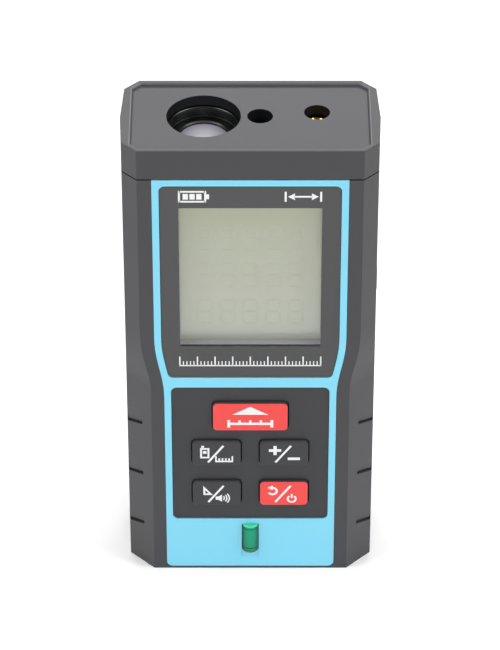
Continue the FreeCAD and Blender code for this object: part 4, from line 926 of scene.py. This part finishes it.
class METER_PG_casing(bpy.types.PropertyGroup):
    edge: length_setting("Edge rounding", "Rounding of the casing's outer edges", 0.22)
    small_edge: length_setting("Small rounding", "Rounding of inlaid pieces", 0.12)
    rim_depth: length_setting("Rim depth", "Rim of the cap above its sunk top", 0.65)
    receiver_radius: length_setting("Receiver aperture", "Radius of the large aperture", 7.7)
    middle_radius: length_setting("Middle aperture", "Radius of the middle aperture", 2.63)
    laser_radius: length_setting("Laser aperture", "Radius of the laser aperture", 2.66)


class METER_PG_keys(bpy.types.PropertyGroup):
    corner: length_setting("Corner radius", "Corners of each key", 1.0)
    edge: length_setting("Front edge", "Rounding of each key's front edge", 0.32)
    flange: length_setting("Flange", "Flange behind the mat", 0.8)
    stroke: length_setting("Stroke", "Width of the lines in the measure key's mark", 0.62)
    slash: length_setting("Slash", "Width of the slash between two marks", 0.48)


class METER_PG_stage(bpy.types.PropertyGroup):
    camera_distance: bpy.props.FloatProperty(
        name="Camera distance", description="Camera to the middle of the meter", default=0.7932,
        unit="LENGTH")
    camera_height: bpy.props.FloatProperty(
        name="Camera elevation", description="Angle above the floor", default=math.radians(37.02),
        subtype="ANGLE")
    lens: bpy.props.FloatProperty(
        name="Focal length", description="Focal length of the camera in millimetres", default=203.7)
    ambient: bpy.props.FloatProperty(
        name="Ambient light", description="Strength of the plain surroundings", default=0.1, min=0)


# ---- Casing -------------------------------------------------------------------------------
def outside_of(nodes, depth):
    """A test for points within depth of the box round some nodes, its foot included."""
    lows, highs = zip(*(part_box(node) for node in nodes))
    low = Vector(map(min, *lows))
    high = Vector(map(max, *highs))

    def test(point):
        inner_x = low.x + depth < point.x < high.x - depth
        inner_y = low.y + depth < point.y < high.y - depth
        return not (inner_x and inner_y and low.z + depth < point.z)
    return test


class METER_OT_casing(bpy.types.Operator):
    """Casing halves, top cap, label and port door"""
    bl_idname = "meter.casing"
    bl_label = "Casing"

    def execute(self, context):
        edge = chosen("casing").edge
        small = chosen("casing").small_edge
        outer = outside_of(("front_shell", "rear_shell"), 1.5 * MM)
        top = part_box("front_shell")[1].z - small
        for node, name in (("front_shell", "casing_front"), ("rear_shell", "casing_rear")):
            settle(eased_copy(node, name, edge, lambda p: outer(p) and p.z < top), node)
        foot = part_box("cap_gasket")[1].z
        cap = eased_copy("top_cap", "casing_cap", small, lambda p: p.z > foot - small)
        cap.data.materials.append(look("bore"))
        cap.data.materials.append(look("polished"))
        for face in cap.data.polygons:
            # The hole walls get a near-black colour: painted shade inside the apertures.
            if self.in_bore(face):
                face.material_index = 1
            # The rim's inner wall gets a paler colour: painted highlight.
            elif self.inside_rim(face):
                face.material_index = 2
        settle(cap, "top_cap")
        settle(eased_copy("rear_label", "label_plate", small / 2), "rear_label")
        settle(eased_copy("port_door", "door_cover", small, lambda p: p.x > 0), "port_door")
        self.door_ribs()
        return {"FINISHED"}

    def in_bore(self, face):
        """True for the walls of the three round apertures."""
        casing = chosen("casing")
        if abs(face.normal.z) > 0.3 or face.center.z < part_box("cap_gasket")[1].z:
            return False
        for node, radius in (("lens_hood", casing.receiver_radius), ("cap_screw", casing.middle_radius),
                             ("laser_barrel", casing.laser_radius)):
            away = face.center - centre(node)
            if math.hypot(away.x, away.y) < radius + 0.05 * MM:
                return True
        return False

    def inside_rim(self, face):
        """True for the rounded wall round the sunk top of the cap."""
        away = face.center - centre("top_cap")
        inward = face.normal.x * away.x + face.normal.y * away.y < -0.1 * MM
        sunk_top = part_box("top_cap")[1].z - chosen("casing").rim_depth
        return inward and face.center.z > sunk_top + 0.02 * MM

    def door_ribs(self):
        """Three small ribs that give the nail a hold on the door."""
        low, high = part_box("port_door")
        length = 5.0 * MM
        start = (high.x - 0.28 * MM, low.y + 0.7 * MM, (low.z + high.z) / 2 - length / 2)
        ribs = grown("door_ribs", "row", look("casing"), Count=3, Pitch=0.55 * MM, Long_Every=9,
                     Bar_Size=(0.22 * MM, 0.22 * MM, length), Long_Scale=(1.0, 1.0, 1.0),
                     Start=start, Step_Direction=(0.04, 1.0, 0.0))
        settle(ribs, like="port_door")


class METER_OT_front_frame(bpy.types.Operator):
    """Blue frame inlaid in the front"""
    bl_idname = "meter.front_frame"
    bl_label = "Front frame"

    def execute(self, context):
        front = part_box("front_bezel")[0].y + 0.3 * MM
        piece = eased_copy("front_bezel", "blue_frame", chosen("casing").small_edge, lambda p: p.y < front)
        settle(piece, "front_bezel")
        return {"FINISHED"}


# ---- Display ------------------------------------------------------------------------------
class METER_OT_display(bpy.types.Operator):
    """Window, its printed marks, and the display panel"""
    bl_idname = "meter.display"
    bl_label = "Display"

    def execute(self, context):
        settle(eased_copy("display_window", "window_pane", 0.1 * MM), "display_window")
        settle(eased_copy("lcd_glass", "display_panel", 0.12 * MM), "lcd_glass")
        self.lining()
        self.figures()
        self.marks()
        self.scale()
        return {"FINISHED"}

    def lining(self):
        """Pale foam that seals the gap between the panel and the window."""
        low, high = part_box("lcd_glass")
        margin = chosen("display").glass_margin
        skin = 0.1 * MM
        gap = 0.02 * MM
        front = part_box("display_window")[1].y + gap
        bm = bmesh.new()
        rings = []
        for inset in (0.0, skin):
            left, right = low.x + margin + inset, high.x - margin - inset
            foot, top = low.z + margin + inset, high.z - margin - inset
            for y in (front, low.y - gap):
                rings.append([bm.verts.new((x, y, z)) for x, z in
                              ((left, foot), (right, foot), (right, top), (left, top))])
        for first, second in ((0, 1), (2, 3), (0, 2), (1, 3)):
            tube_walls(bm, rings[first], rings[second])
        bmesh.ops.recalc_face_normals(bm, faces=bm.faces)
        settle(mesh_from("display_lining", bm, look("lining")), like="lcd_glass")

    def figures(self):
        middle = centre("lcd_glass")
        place = (middle.x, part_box("lcd_glass")[0].y - 0.01 * MM, middle.z - 1.0 * MM)
        settle(grown("display_figures", "figures", look("unlit"), Middle=place), like="lcd_glass")

    def marks(self):
        """A cell symbol on the left and a double arrow between two marks on the right."""
        low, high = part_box("display_window")
        mark = Print(low.y)
        level = high.z - 2.7 * MM
        half = 1.25 * MM
        line = 0.42 * MM
        x0, x1 = -14.7 * MM, -9.3 * MM
        for z in (level + half, level - half):
            mark.bar((x0, z), (x1, z), line)
        for x in (x0, x1):
            mark.bar((x, level - half - line / 2), (x, level + half + line / 2), line)
        mark.block((x1 + line / 2, level - 0.6 * MM), (x1 + 0.8 * MM, level + 0.6 * MM))
        for cell in range(3):
            left = x0 + (0.75 + 1.4 * cell) * MM
            mark.block((left, level - 0.7 * MM), (left + 1.1 * MM, level + 0.7 * MM))
        left, right = 7.3 * MM, 14.6 * MM
        for x, way in ((left, 1), (right, -1)):
            mark.bar((x, level - half), (x, level + half), line)
            tip = x + way * 0.5 * MM
            back = x + way * 1.9 * MM
            mark.area([(tip, level), (back, level - 0.85 * MM), (back, level + 0.85 * MM)])
        mark.bar((left + 1.8 * MM, level), (right - 1.8 * MM, level), line)
        mark.finish("window_marks", "display_window")

    def scale(self):
        """A plain scale of ticks along the foot of the window."""
        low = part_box("display_window")[0]
        sizes = chosen("display")
        half = sizes.tick_pitch * (sizes.tick_count - 1) / 2
        foot = low.z + 3.2 * MM
        over = 0.15 * MM
        ticks = grown("window_scale", "row", look("print"), Count=sizes.tick_count, Pitch=sizes.tick_pitch,
                      Bar_Size=(0.22 * MM, sizes.print_ink, 1.15 * MM), Long_Every=5,
                      Long_Scale=(1.3, 1.0, 2.1), Start=(-half, low.y - sizes.print_ink / 2, foot),
                      Step_Direction=(1.0, 0.0, 0.0))
        settle(ticks, like="display_window")
        base = Print(low.y)
        base.bar((-half - over, foot), (half + over, foot), 2 * over)
        base.finish("window_scale_line", "display_window")


# ---- Keypad -------------------------------------------------------------------------------
def key_piece(node, name):
    """A key with rounded corners, a softly rounded front edge, its flange and its stem."""
    low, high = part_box(node)
    sizes = chosen("keys")
    flange = sizes.flange
    edge = sizes.edge
    least_corner = 0.3 * MM
    stem_radius = 1.6 * MM
    x0, x1 = low.x + flange, high.x - flange
    z0, z1 = low.z + flange, high.z - flange
    mat_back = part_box("keypad_mat")[1].y + 0.05 * MM
    flange_back = mat_back + flange
    loops = [(-flange, flange_back), (-flange, mat_back), (0.0, mat_back)]
    for sine, cosine in quarter_turn(6):
        loops.append((edge * (1 - cosine), low.y + edge * (1 - sine)))
    loops.append((edge * 2.2, low.y))
    bm = bmesh.new()
    rings = []
    for inset, y in loops:
        radius = max(sizes.corner - inset, least_corner) if inset >= 0 else sizes.corner
        outline = rounded_rectangle((x0 + inset, z0 + inset), (x1 - inset, z1 - inset), radius)
        rings.append([bm.verts.new((x, y, z)) for x, z in outline])
    painted = 0.45 * edge
    for (inset, y), first, second in zip(loops, rings, rings[1:]):
        for side in tube_walls(bm, first, second):
            side.material_index = 1 if inset > 0 and y < low.y + painted else 0
    bm.faces.new(rings[0])
    bm.faces.new(rings[-1]).material_index = 1
    stem = bmesh.ops.create_cone(bm, cap_ends=True, segments=32, radius1=stem_radius, radius2=stem_radius,
                                 depth=high.y - flange_back)
    place = Matrix.Translation(((x0 + x1) / 2, (high.y + flange_back) / 2, (z0 + z1) / 2))
    bmesh.ops.transform(bm, matrix=place @ Matrix.Rotation(math.pi / 2, 4, "X"), verts=stem["verts"])
    bmesh.ops.recalc_face_normals(bm, faces=bm.faces)
    piece = mesh_from(name, bm, look("rubber"), KEY_SMOOTH)
    piece.data.materials.append(look_of(node))
    return settle(piece, node)


class KeyMark(Print):
    """White marks on one key's front, placed from the key's middle in millimetres."""

    def __init__(self, name):
        self.name = name
        self.node = "key_" + name
        self.middle = centre(self.node)
        super().__init__(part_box(self.node)[0].y)

    def at(self, x, z):
        return (self.middle.x + x * MM, self.middle.z + z * MM)

    def line(self, start, end, width):
        """A bar between two places on the key, with its width in millimetres."""
        self.bar(self.at(*start), self.at(*end), width * MM)

    def shape(self, *points):
        self.area([self.at(*point) for point in points])

    def slash(self):
        self.bar(self.at(-1.85, -2.35), self.at(1.5, 2.25), chosen("keys").slash)

    def done(self):
        self.finish(self.name + "_mark", self.node)


class METER_OT_keypad(bpy.types.Operator):
    """Keypad mat, five keys and their marks"""
    bl_idname = "meter.keypad"
    bl_label = "Keypad"

    def execute(self, context):
        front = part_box("keypad_mat")[0].y + 0.3 * MM
        mat = eased_copy("keypad_mat", "keypad_sheet", 0.14 * MM, lambda p: p.y < front)
        settle(mat, "keypad_mat")
        for node in ("key_measure", "key_reference", "key_plus_minus", "key_function", "key_clear"):
            key_piece(node, node.replace("key_", "") + "_keycap")
        self.measure_mark()
        self.reference_mark()
        self.plus_minus_mark()
        self.function_mark()
        self.clear_mark()
        return {"FINISHED"}

    def measure_mark(self):
        """A flat arrowhead over a beam between two posts."""
        mark = KeyMark("measure")
        mark.shape((-3.85, 0.75), (3.85, 0.75), (0, 2.9))
        stroke = chosen("keys").stroke / MM
        reach, beam = 4.65, -1.75
        mark.line((-reach + stroke / 2, beam), (reach - stroke / 2, beam), stroke)
        for side in (-1, 1):
            mark.line((side * reach, -2.75), (side * reach, -0.75), stroke)
        for x in (-2.3, 0.0, 2.3):
            mark.line((x, beam + stroke / 2), (x, -0.8), stroke * 0.8)
        mark.done()

    def reference_mark(self):
        """The meter's own outline, a slash, and a rule with ticks."""
        mark = KeyMark("reference")
        mark.slash()
        for x in (-3.35, -1.75):
            mark.line((x, -0.8), (x, 1.2), 0.42)
        for z in (-1.01, 1.41):
            mark.line((-3.56, z), (-1.54, z), 0.42)
        mark.block(mark.at(-2.95, 0.05), mark.at(-2.15, 0.8))
        mark.block(mark.at(-3.3, 1.7), mark.at(-2.7, 2.25))
        mark.line((-0.3, -2.1), (3.6, -2.1), 0.4)
        for tick in range(6):
            x = -0.13 + 0.712 * tick
            mark.line((x, -1.9), (x, -0.65 if tick % 5 == 0 else -1.2), 0.34)
        mark.done()

    def plus_minus_mark(self):
        mark = KeyMark("plus_minus")
        mark.slash()
        for start, end in (((-3.3, 0.95), (-0.6, 0.95)), ((-1.95, -0.3), (-1.95, 0.59)),
                           ((-1.95, 1.31), (-1.95, 2.2)), ((0.8, -1.35), (3.45, -1.35))):
            mark.line(start, end, 0.72)
        mark.done()

    def function_mark(self):
        """A right triangle for indirect measuring, a slash, and a sounding horn."""
        mark = KeyMark("function")
        mark.slash()
        outer = ((-2.95, -0.35), (-0.85, -0.35), (-2.95, 2.2))
        inner = ((-2.5, 0.1), (-1.75, 0.1), (-2.5, 1.0))
        for first in range(3):
            second = (first + 1) % 3
            mark.shape(outer[first], outer[second], inner[second], inner[first])
        mark.block(mark.at(-0.25, -1.7), mark.at(0.35, -0.8))
        mark.shape((0.35, -1.7), (1.15, -2.25), (1.15, -0.25), (0.35, -0.8))
        for wave in range(3):
            mark.arc(mark.at(0.9, -1.25), (0.75 + 0.55 * wave) * MM, 0.28 * MM, -42, 42)
        mark.done()

    def clear_mark(self):
        """An undo arrow, a slash, and the standby sign."""
        mark = KeyMark("clear")
        mark.slash()
        mark.arc(mark.at(-2.45, 0.75), 0.92 * MM, 0.5 * MM, -150, 90)
        mark.shape((-2.4, 2.35), (-3.55, 1.67), (-2.4, 1.0))
        mark.arc(mark.at(1.75, -1.45), 0.9 * MM, 0.42 * MM, 125, 415)
        mark.line((1.75, -1.2), (1.75, -0.1), 0.42)
        mark.done()


# ---- Bubble vial --------------------------------------------------------------------------
class METER_OT_vial(bpy.types.Operator):
    """Bubble vial: tube, plug, fluid and bubble"""
    bl_idname = "meter.vial"
    bl_label = "Bubble vial"

    def execute(self, context):
        foot, top, middle, radius = round_part("vial_tube")
        fluid_foot, fluid_top, _, bore = round_part("vial_fluid")
        ease = 0.35 * MM
        profile = [(bore, foot)]
        for sine, cosine in quarter_turn(5):
            profile.append((radius - ease * (1 - sine), foot + ease * (1 - cosine)))
        for sine, cosine in quarter_turn(5):
            profile.append((radius - ease * (1 - cosine), top - ease * (1 - sine)))
        profile += [(0.0, top), (0.0, fluid_top), (bore, fluid_top)]
        settle(lathe("vial_glass", profile, middle, look("vial"), 56), "vial_tube")
        gap = 0.02 * MM
        inner = bore - gap
        wetted = [(0.0, fluid_foot + gap), (inner, fluid_foot + gap), (inner, fluid_top - gap),
                  (0.0, fluid_top - gap)]
        settle(lathe("vial_liquid", wetted, middle, look("fluid"), 48, closed=False), "vial_fluid")
        plug_foot, plug_top = round_part("vial_plug")[:2]
        edge = 0.15 * MM
        plug = [(0.0, plug_foot), (inner - edge, plug_foot), (inner, plug_foot + edge),
                (inner, plug_top - edge), (inner - edge, plug_top), (0.0, plug_top)]
        settle(lathe("vial_stopper", plug, middle, look("plug"), 48, closed=False), "vial_plug")
        self.bubble(middle)
        self.ring(middle, radius, plug_top)
        return {"FINISHED"}

    def bubble(self, middle):
        foot, top, _, radius = round_part("vial_bubble")
        profile = [(radius * sine, foot + radius * (1 - cosine)) for sine, cosine in quarter_turn(10)]
        profile += [(radius * cosine, top - radius * (1 - sine)) for sine, cosine in quarter_turn(10)]
        settle(lathe("air_bubble", profile, middle, look("bubble"), 40, closed=False), "vial_bubble")

    def ring(self, middle, radius, level):
        """The dark ring between the stopper and the fluid."""
        ring = grown("vial_ring", "rings", look("optic_black"), Ring_Radius=radius - 0.3 * MM,
                     Wire_Radius=0.07 * MM, Count=1, Pitch=0.5 * MM, Start=(middle.x, middle.y, level))
        settle(ring, like="vial_plug")


# ---- Optics -------------------------------------------------------------------------------
class METER_OT_optics(bpy.types.Operator):
    """Lens hood with baffles, lens, retainer, laser barrel and its lens"""
    bl_idname = "meter.optics"
    bl_label = "Optics"

    def execute(self, context):
        self.hood()
        self.lens()
        self.retainer()
        self.laser()
        return {"FINISHED"}

    def hood(self):
        foot, top, middle, outer = round_part("lens_hood")
        bore = round_part("receiver_lens")[3] + 0.07 * MM
        edge = 0.12 * MM
        profile = [(bore, foot), (outer, foot), (outer, top - edge), (outer - edge, top),
                   (bore + edge, top), (bore, top - edge)]
        settle(lathe("hood_ring", profile, middle, look("anodised"), 96), "lens_hood")
        baffles = grown("hood_baffles", "rings", look("anodised"), Ring_Radius=bore, Wire_Radius=0.09 * MM,
                        Count=4, Pitch=0.5 * MM, Start=(middle.x, middle.y, foot + 0.3 * MM))
        settle(baffles, like="lens_hood")

    def lens(self):
        """A flat rim round a dome, which is part of a ball."""
        foot, top, middle, outer = round_part("receiver_lens")
        dome = 5.0 * MM
        rise = 0.6 * MM
        ball = (dome ** 2 + rise ** 2) / (2 * rise)
        profile = [(0.0, foot), (outer, foot), (outer, top - rise), (dome, top - rise)]
        steps = 14
        for step in range(1, steps + 1):
            across = dome * (1 - step / steps)
            profile.append((across, top - ball + math.sqrt(ball ** 2 - across ** 2)))
        settle(lathe("lens_element", profile, middle, look("lens"), 96, closed=False), "receiver_lens")

    def retainer(self):
        foot, top, middle, outer = round_part("lens_retainer")
        inner = 5.1 * MM
        edge = 0.12 * MM
        profile = [(inner, foot), (outer, foot), (outer, top), (inner + 3 * edge, top),
                   (inner, top - 2 * edge)]
        settle(lathe("retaining_ring", profile, middle, look("anodised"), 96), "lens_retainer")

    def laser(self):
        foot, top, middle, outer = round_part("laser_barrel")
        lens_foot, lens_top, _, bore = round_part("laser_lens")
        edge = 0.15 * MM
        profile = [(bore, foot), (outer, foot), (outer, top - edge), (outer - edge, top),
                   (bore + 2 * edge, top), (bore, top - 2 * edge)]
        settle(lathe("brass_barrel", profile, middle, look("brass"), 64), "laser_barrel")
        radius = bore - 0.01 * MM
        disc = [(0.0, lens_foot), (radius, lens_foot), (radius, lens_top - edge)]
        steps = 6
        for step in range(1, steps + 1):
            left = 1 - step / steps
            disc.append((radius * left, lens_top - edge * left ** 2))
        settle(lathe("laser_element", disc, middle, look("lens"), 48, closed=False), "laser_lens")


# ---- Fasteners ----------------------------------------------------------------------------
def solid_ends(node, axis):
    """The upper end of each separate solid of a node along one axis, and the solid's length there."""
    bm = bmesh.new()
    bm.from_mesh(NODES[node].data)
    bmesh.ops.remove_doubles(bm, verts=bm.verts, dist=SAME_PLACE)
    seen = set()
    places = []
    for start in bm.verts:
        if start.index in seen:
            continue
        island, queue = [], [start]
        seen.add(start.index)
        while queue:
            vertex = queue.pop()
            island.append(vertex.co.copy())
            for edge in vertex.link_edges:
                other = edge.other_vert(vertex)
                if other.index not in seen:
                    seen.add(other.index)
                    queue.append(other)
        low = Vector([min(point[i] for point in island) for i in range(3)])
        high = Vector([max(point[i] for point in island) for i in range(3)])
        place = (low + high) / 2
        place[axis] = high[axis]
        places.append((place, (high - low)[axis]))
    bm.free()
    return places


class METER_OT_screws(bpy.types.Operator):
    """Casing, board, optics and cap screws"""
    bl_idname = "meter.screws"
    bl_label = "Screws"

    def execute(self, context):
        away = (-math.pi / 2, 0.0, 0.0)
        for node, name in (("case_screws", "casing_screws"), ("board_screws", "circuit_screws"),
                           ("optics_screws", "chassis_screws")):
            self.set_of(node, name, 1, away)
        self.set_of("cap_screw", "top_screw", 2, (0.0, 0.0, 0.0))
        return {"FINISHED"}

    def set_of(self, node, name, axis, turn):
        head = 1.3 * MM
        ends = solid_ends(node, axis)
        seats = []
        for place, _ in ends:
            place[axis] -= head
            seats.append(place)
        piece = grown(name, "screws", look_of(node), seats, Head_Height=head,
                      Shank_Length=ends[0][1] - head, Turn=turn)
        settle(piece, node)


# ---- Charging socket ----------------------------------------------------------------------
class METER_OT_socket(bpy.types.Operator):
    """Gold contacts on the charging socket's tongue"""
    bl_idname = "meter.socket"
    bl_label = "Charging socket"

    def execute(self, context):
        middle = centre("usb_receptacle")
        count, pitch, width = 5, 0.65 * MM, 0.35 * MM
        start = (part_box("usb_receptacle")[1].x - 2.3 * MM, middle.y + 0.33 * MM,
                 middle.z - ((count - 1) * pitch + width) / 2)
        contacts = grown("socket_contacts", "row", look("gold"), Count=count, Pitch=pitch, Long_Every=9,
                         Bar_Size=(2.4 * MM, 0.08 * MM, width), Long_Scale=(1.0, 1.0, 1.0), Start=start,
                         Step_Direction=(0.0, 0.0, 1.0))
        settle(contacts, like="usb_receptacle")
        return {"FINISHED"}


# ---- Carried-over pieces ------------------------------------------------------------------
class METER_OT_inner_pieces(bpy.types.Operator):
    """Finishes for the pieces whose CAD shape stays"""
    bl_idname = "meter.inner_pieces"
    bl_label = "Inner pieces"

    def execute(self, context):
        for node, piece in NODES.items():
            if piece.hide_render:
                continue
            piece.data.materials.clear()
            piece.data.materials.append(look_of(node))
        return {"FINISHED"}


# ---- Stage --------------------------------------------------------------------------------
def face_towards(piece, target):
    """Turns a lamp or camera to look at a point."""
    piece.rotation_euler = (Vector(target) - piece.location).to_track_quat("-Z", "Y").to_euler()


def area_light(name, place, width, height, power):
    data = bpy.data.lights.new(name, "AREA")
    data.shape = "RECTANGLE"
    data.size = width
    data.size_y = height
    data.energy = power
    lamp = new_object(name, data)
    lamp.location = place
    face_towards(lamp, (0, 0, 0.06))


class METER_OT_stage(bpy.types.Operator):
    """Floor, soft lights, surroundings and camera"""
    bl_idname = "meter.stage"
    bl_label = "Stage"

    def execute(self, context):
        scene = context.scene
        settings = chosen("stage")
        bpy.ops.mesh.primitive_plane_add(size=6.0, location=(0, 0, 0))
        floor = context.active_object
        floor.name = "floor"
        floor.data.materials.append(look("floor"))
        scene.world = bpy.data.worlds.new("Surroundings")
        scene.world.use_nodes = True
        sky = scene.world.node_tree.nodes["Background"].inputs
        sky["Color"].default_value = WHITE
        sky["Strength"].default_value = settings.ambient
        area_light("overhead", (0.0, 0.05, 0.85), 0.9, 0.6, 1.6)
        area_light("back_top", (0.0, 0.85, 0.75), 0.9, 0.5, 6.0)
        area_light("left_side", (-0.7, -0.15, 0.78), 0.5, 0.6, 4.7)
        area_light("right_side", (0.7, -0.15, 0.78), 0.5, 0.6, 5.8)
        area_light("front_fill", (0.0, -0.9, 0.6), 0.6, 0.5, 2.3)
        scene.view_settings.view_transform = "Standard"
        scene.view_settings.look = "None"
        self.camera(scene, settings)
        return {"FINISHED"}

    def camera(self, scene, settings):
        aim_x, aim_z = -0.06 * MM, 58.16 * MM
        target = Vector((aim_x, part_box("front_shell")[1].y, aim_z))
        data = bpy.data.cameras.new("camera")
        data.lens = settings.lens
        data.sensor_width = 36.0
        camera = new_object("camera", data)
        away = Vector((0, -math.cos(settings.camera_height), math.sin(settings.camera_height)))
        camera.location = target + away * settings.camera_distance
        face_towards(camera, target)
        scene.camera = camera


# ---- Panel and registration ---------------------------------------------------------------
STEPS = (
    METER_OT_stage, METER_OT_casing, METER_OT_front_frame, METER_OT_display, METER_OT_keypad, METER_OT_vial,
    METER_OT_optics, METER_OT_screws, METER_OT_socket, METER_OT_inner_pieces,
)
SETTINGS = {
    "meter_materials": METER_PG_materials, "meter_display": METER_PG_display,
    "meter_casing": METER_PG_casing, "meter_keys": METER_PG_keys, "meter_stage": METER_PG_stage,
}


class METER_PT_panel(bpy.types.Panel):
    """Sidebar panel with the meter's sizes, colours and steps"""
    bl_idname = "METER_PT_panel"
    bl_label = "Laser Distance Meter"
    bl_space_type = "VIEW_3D"
    bl_region_type = "UI"
    bl_category = "Meter"

    def draw(self, context):
        for name, group in SETTINGS.items():
            box = self.layout.box()
            for prop in group.__annotations__:
                box.prop(getattr(context.scene, name), prop)
        for step in STEPS:
            self.layout.operator(step.bl_idname)


def register():
    for group in SETTINGS.values():
        bpy.utils.register_class(group)
    for name, group in SETTINGS.items():
        setattr(bpy.types.Scene, name, bpy.props.PointerProperty(type=group))
    for step in STEPS:
        bpy.utils.register_class(step)
    bpy.utils.register_class(METER_PT_panel)


def unregister():
    bpy.utils.unregister_class(METER_PT_panel)
    for step in reversed(STEPS):
        bpy.utils.unregister_class(step)
    for name in SETTINGS:
        delattr(bpy.types.Scene, name)
    for group in reversed(list(SETTINGS.values())):
        bpy.utils.unregister_class(group)


def main():
    register()
    for step in STEPS:
        family, action = step.bl_idname.split(".")
        getattr(getattr(bpy.ops, family), action)()


if __name__ == "__main__":
    main()
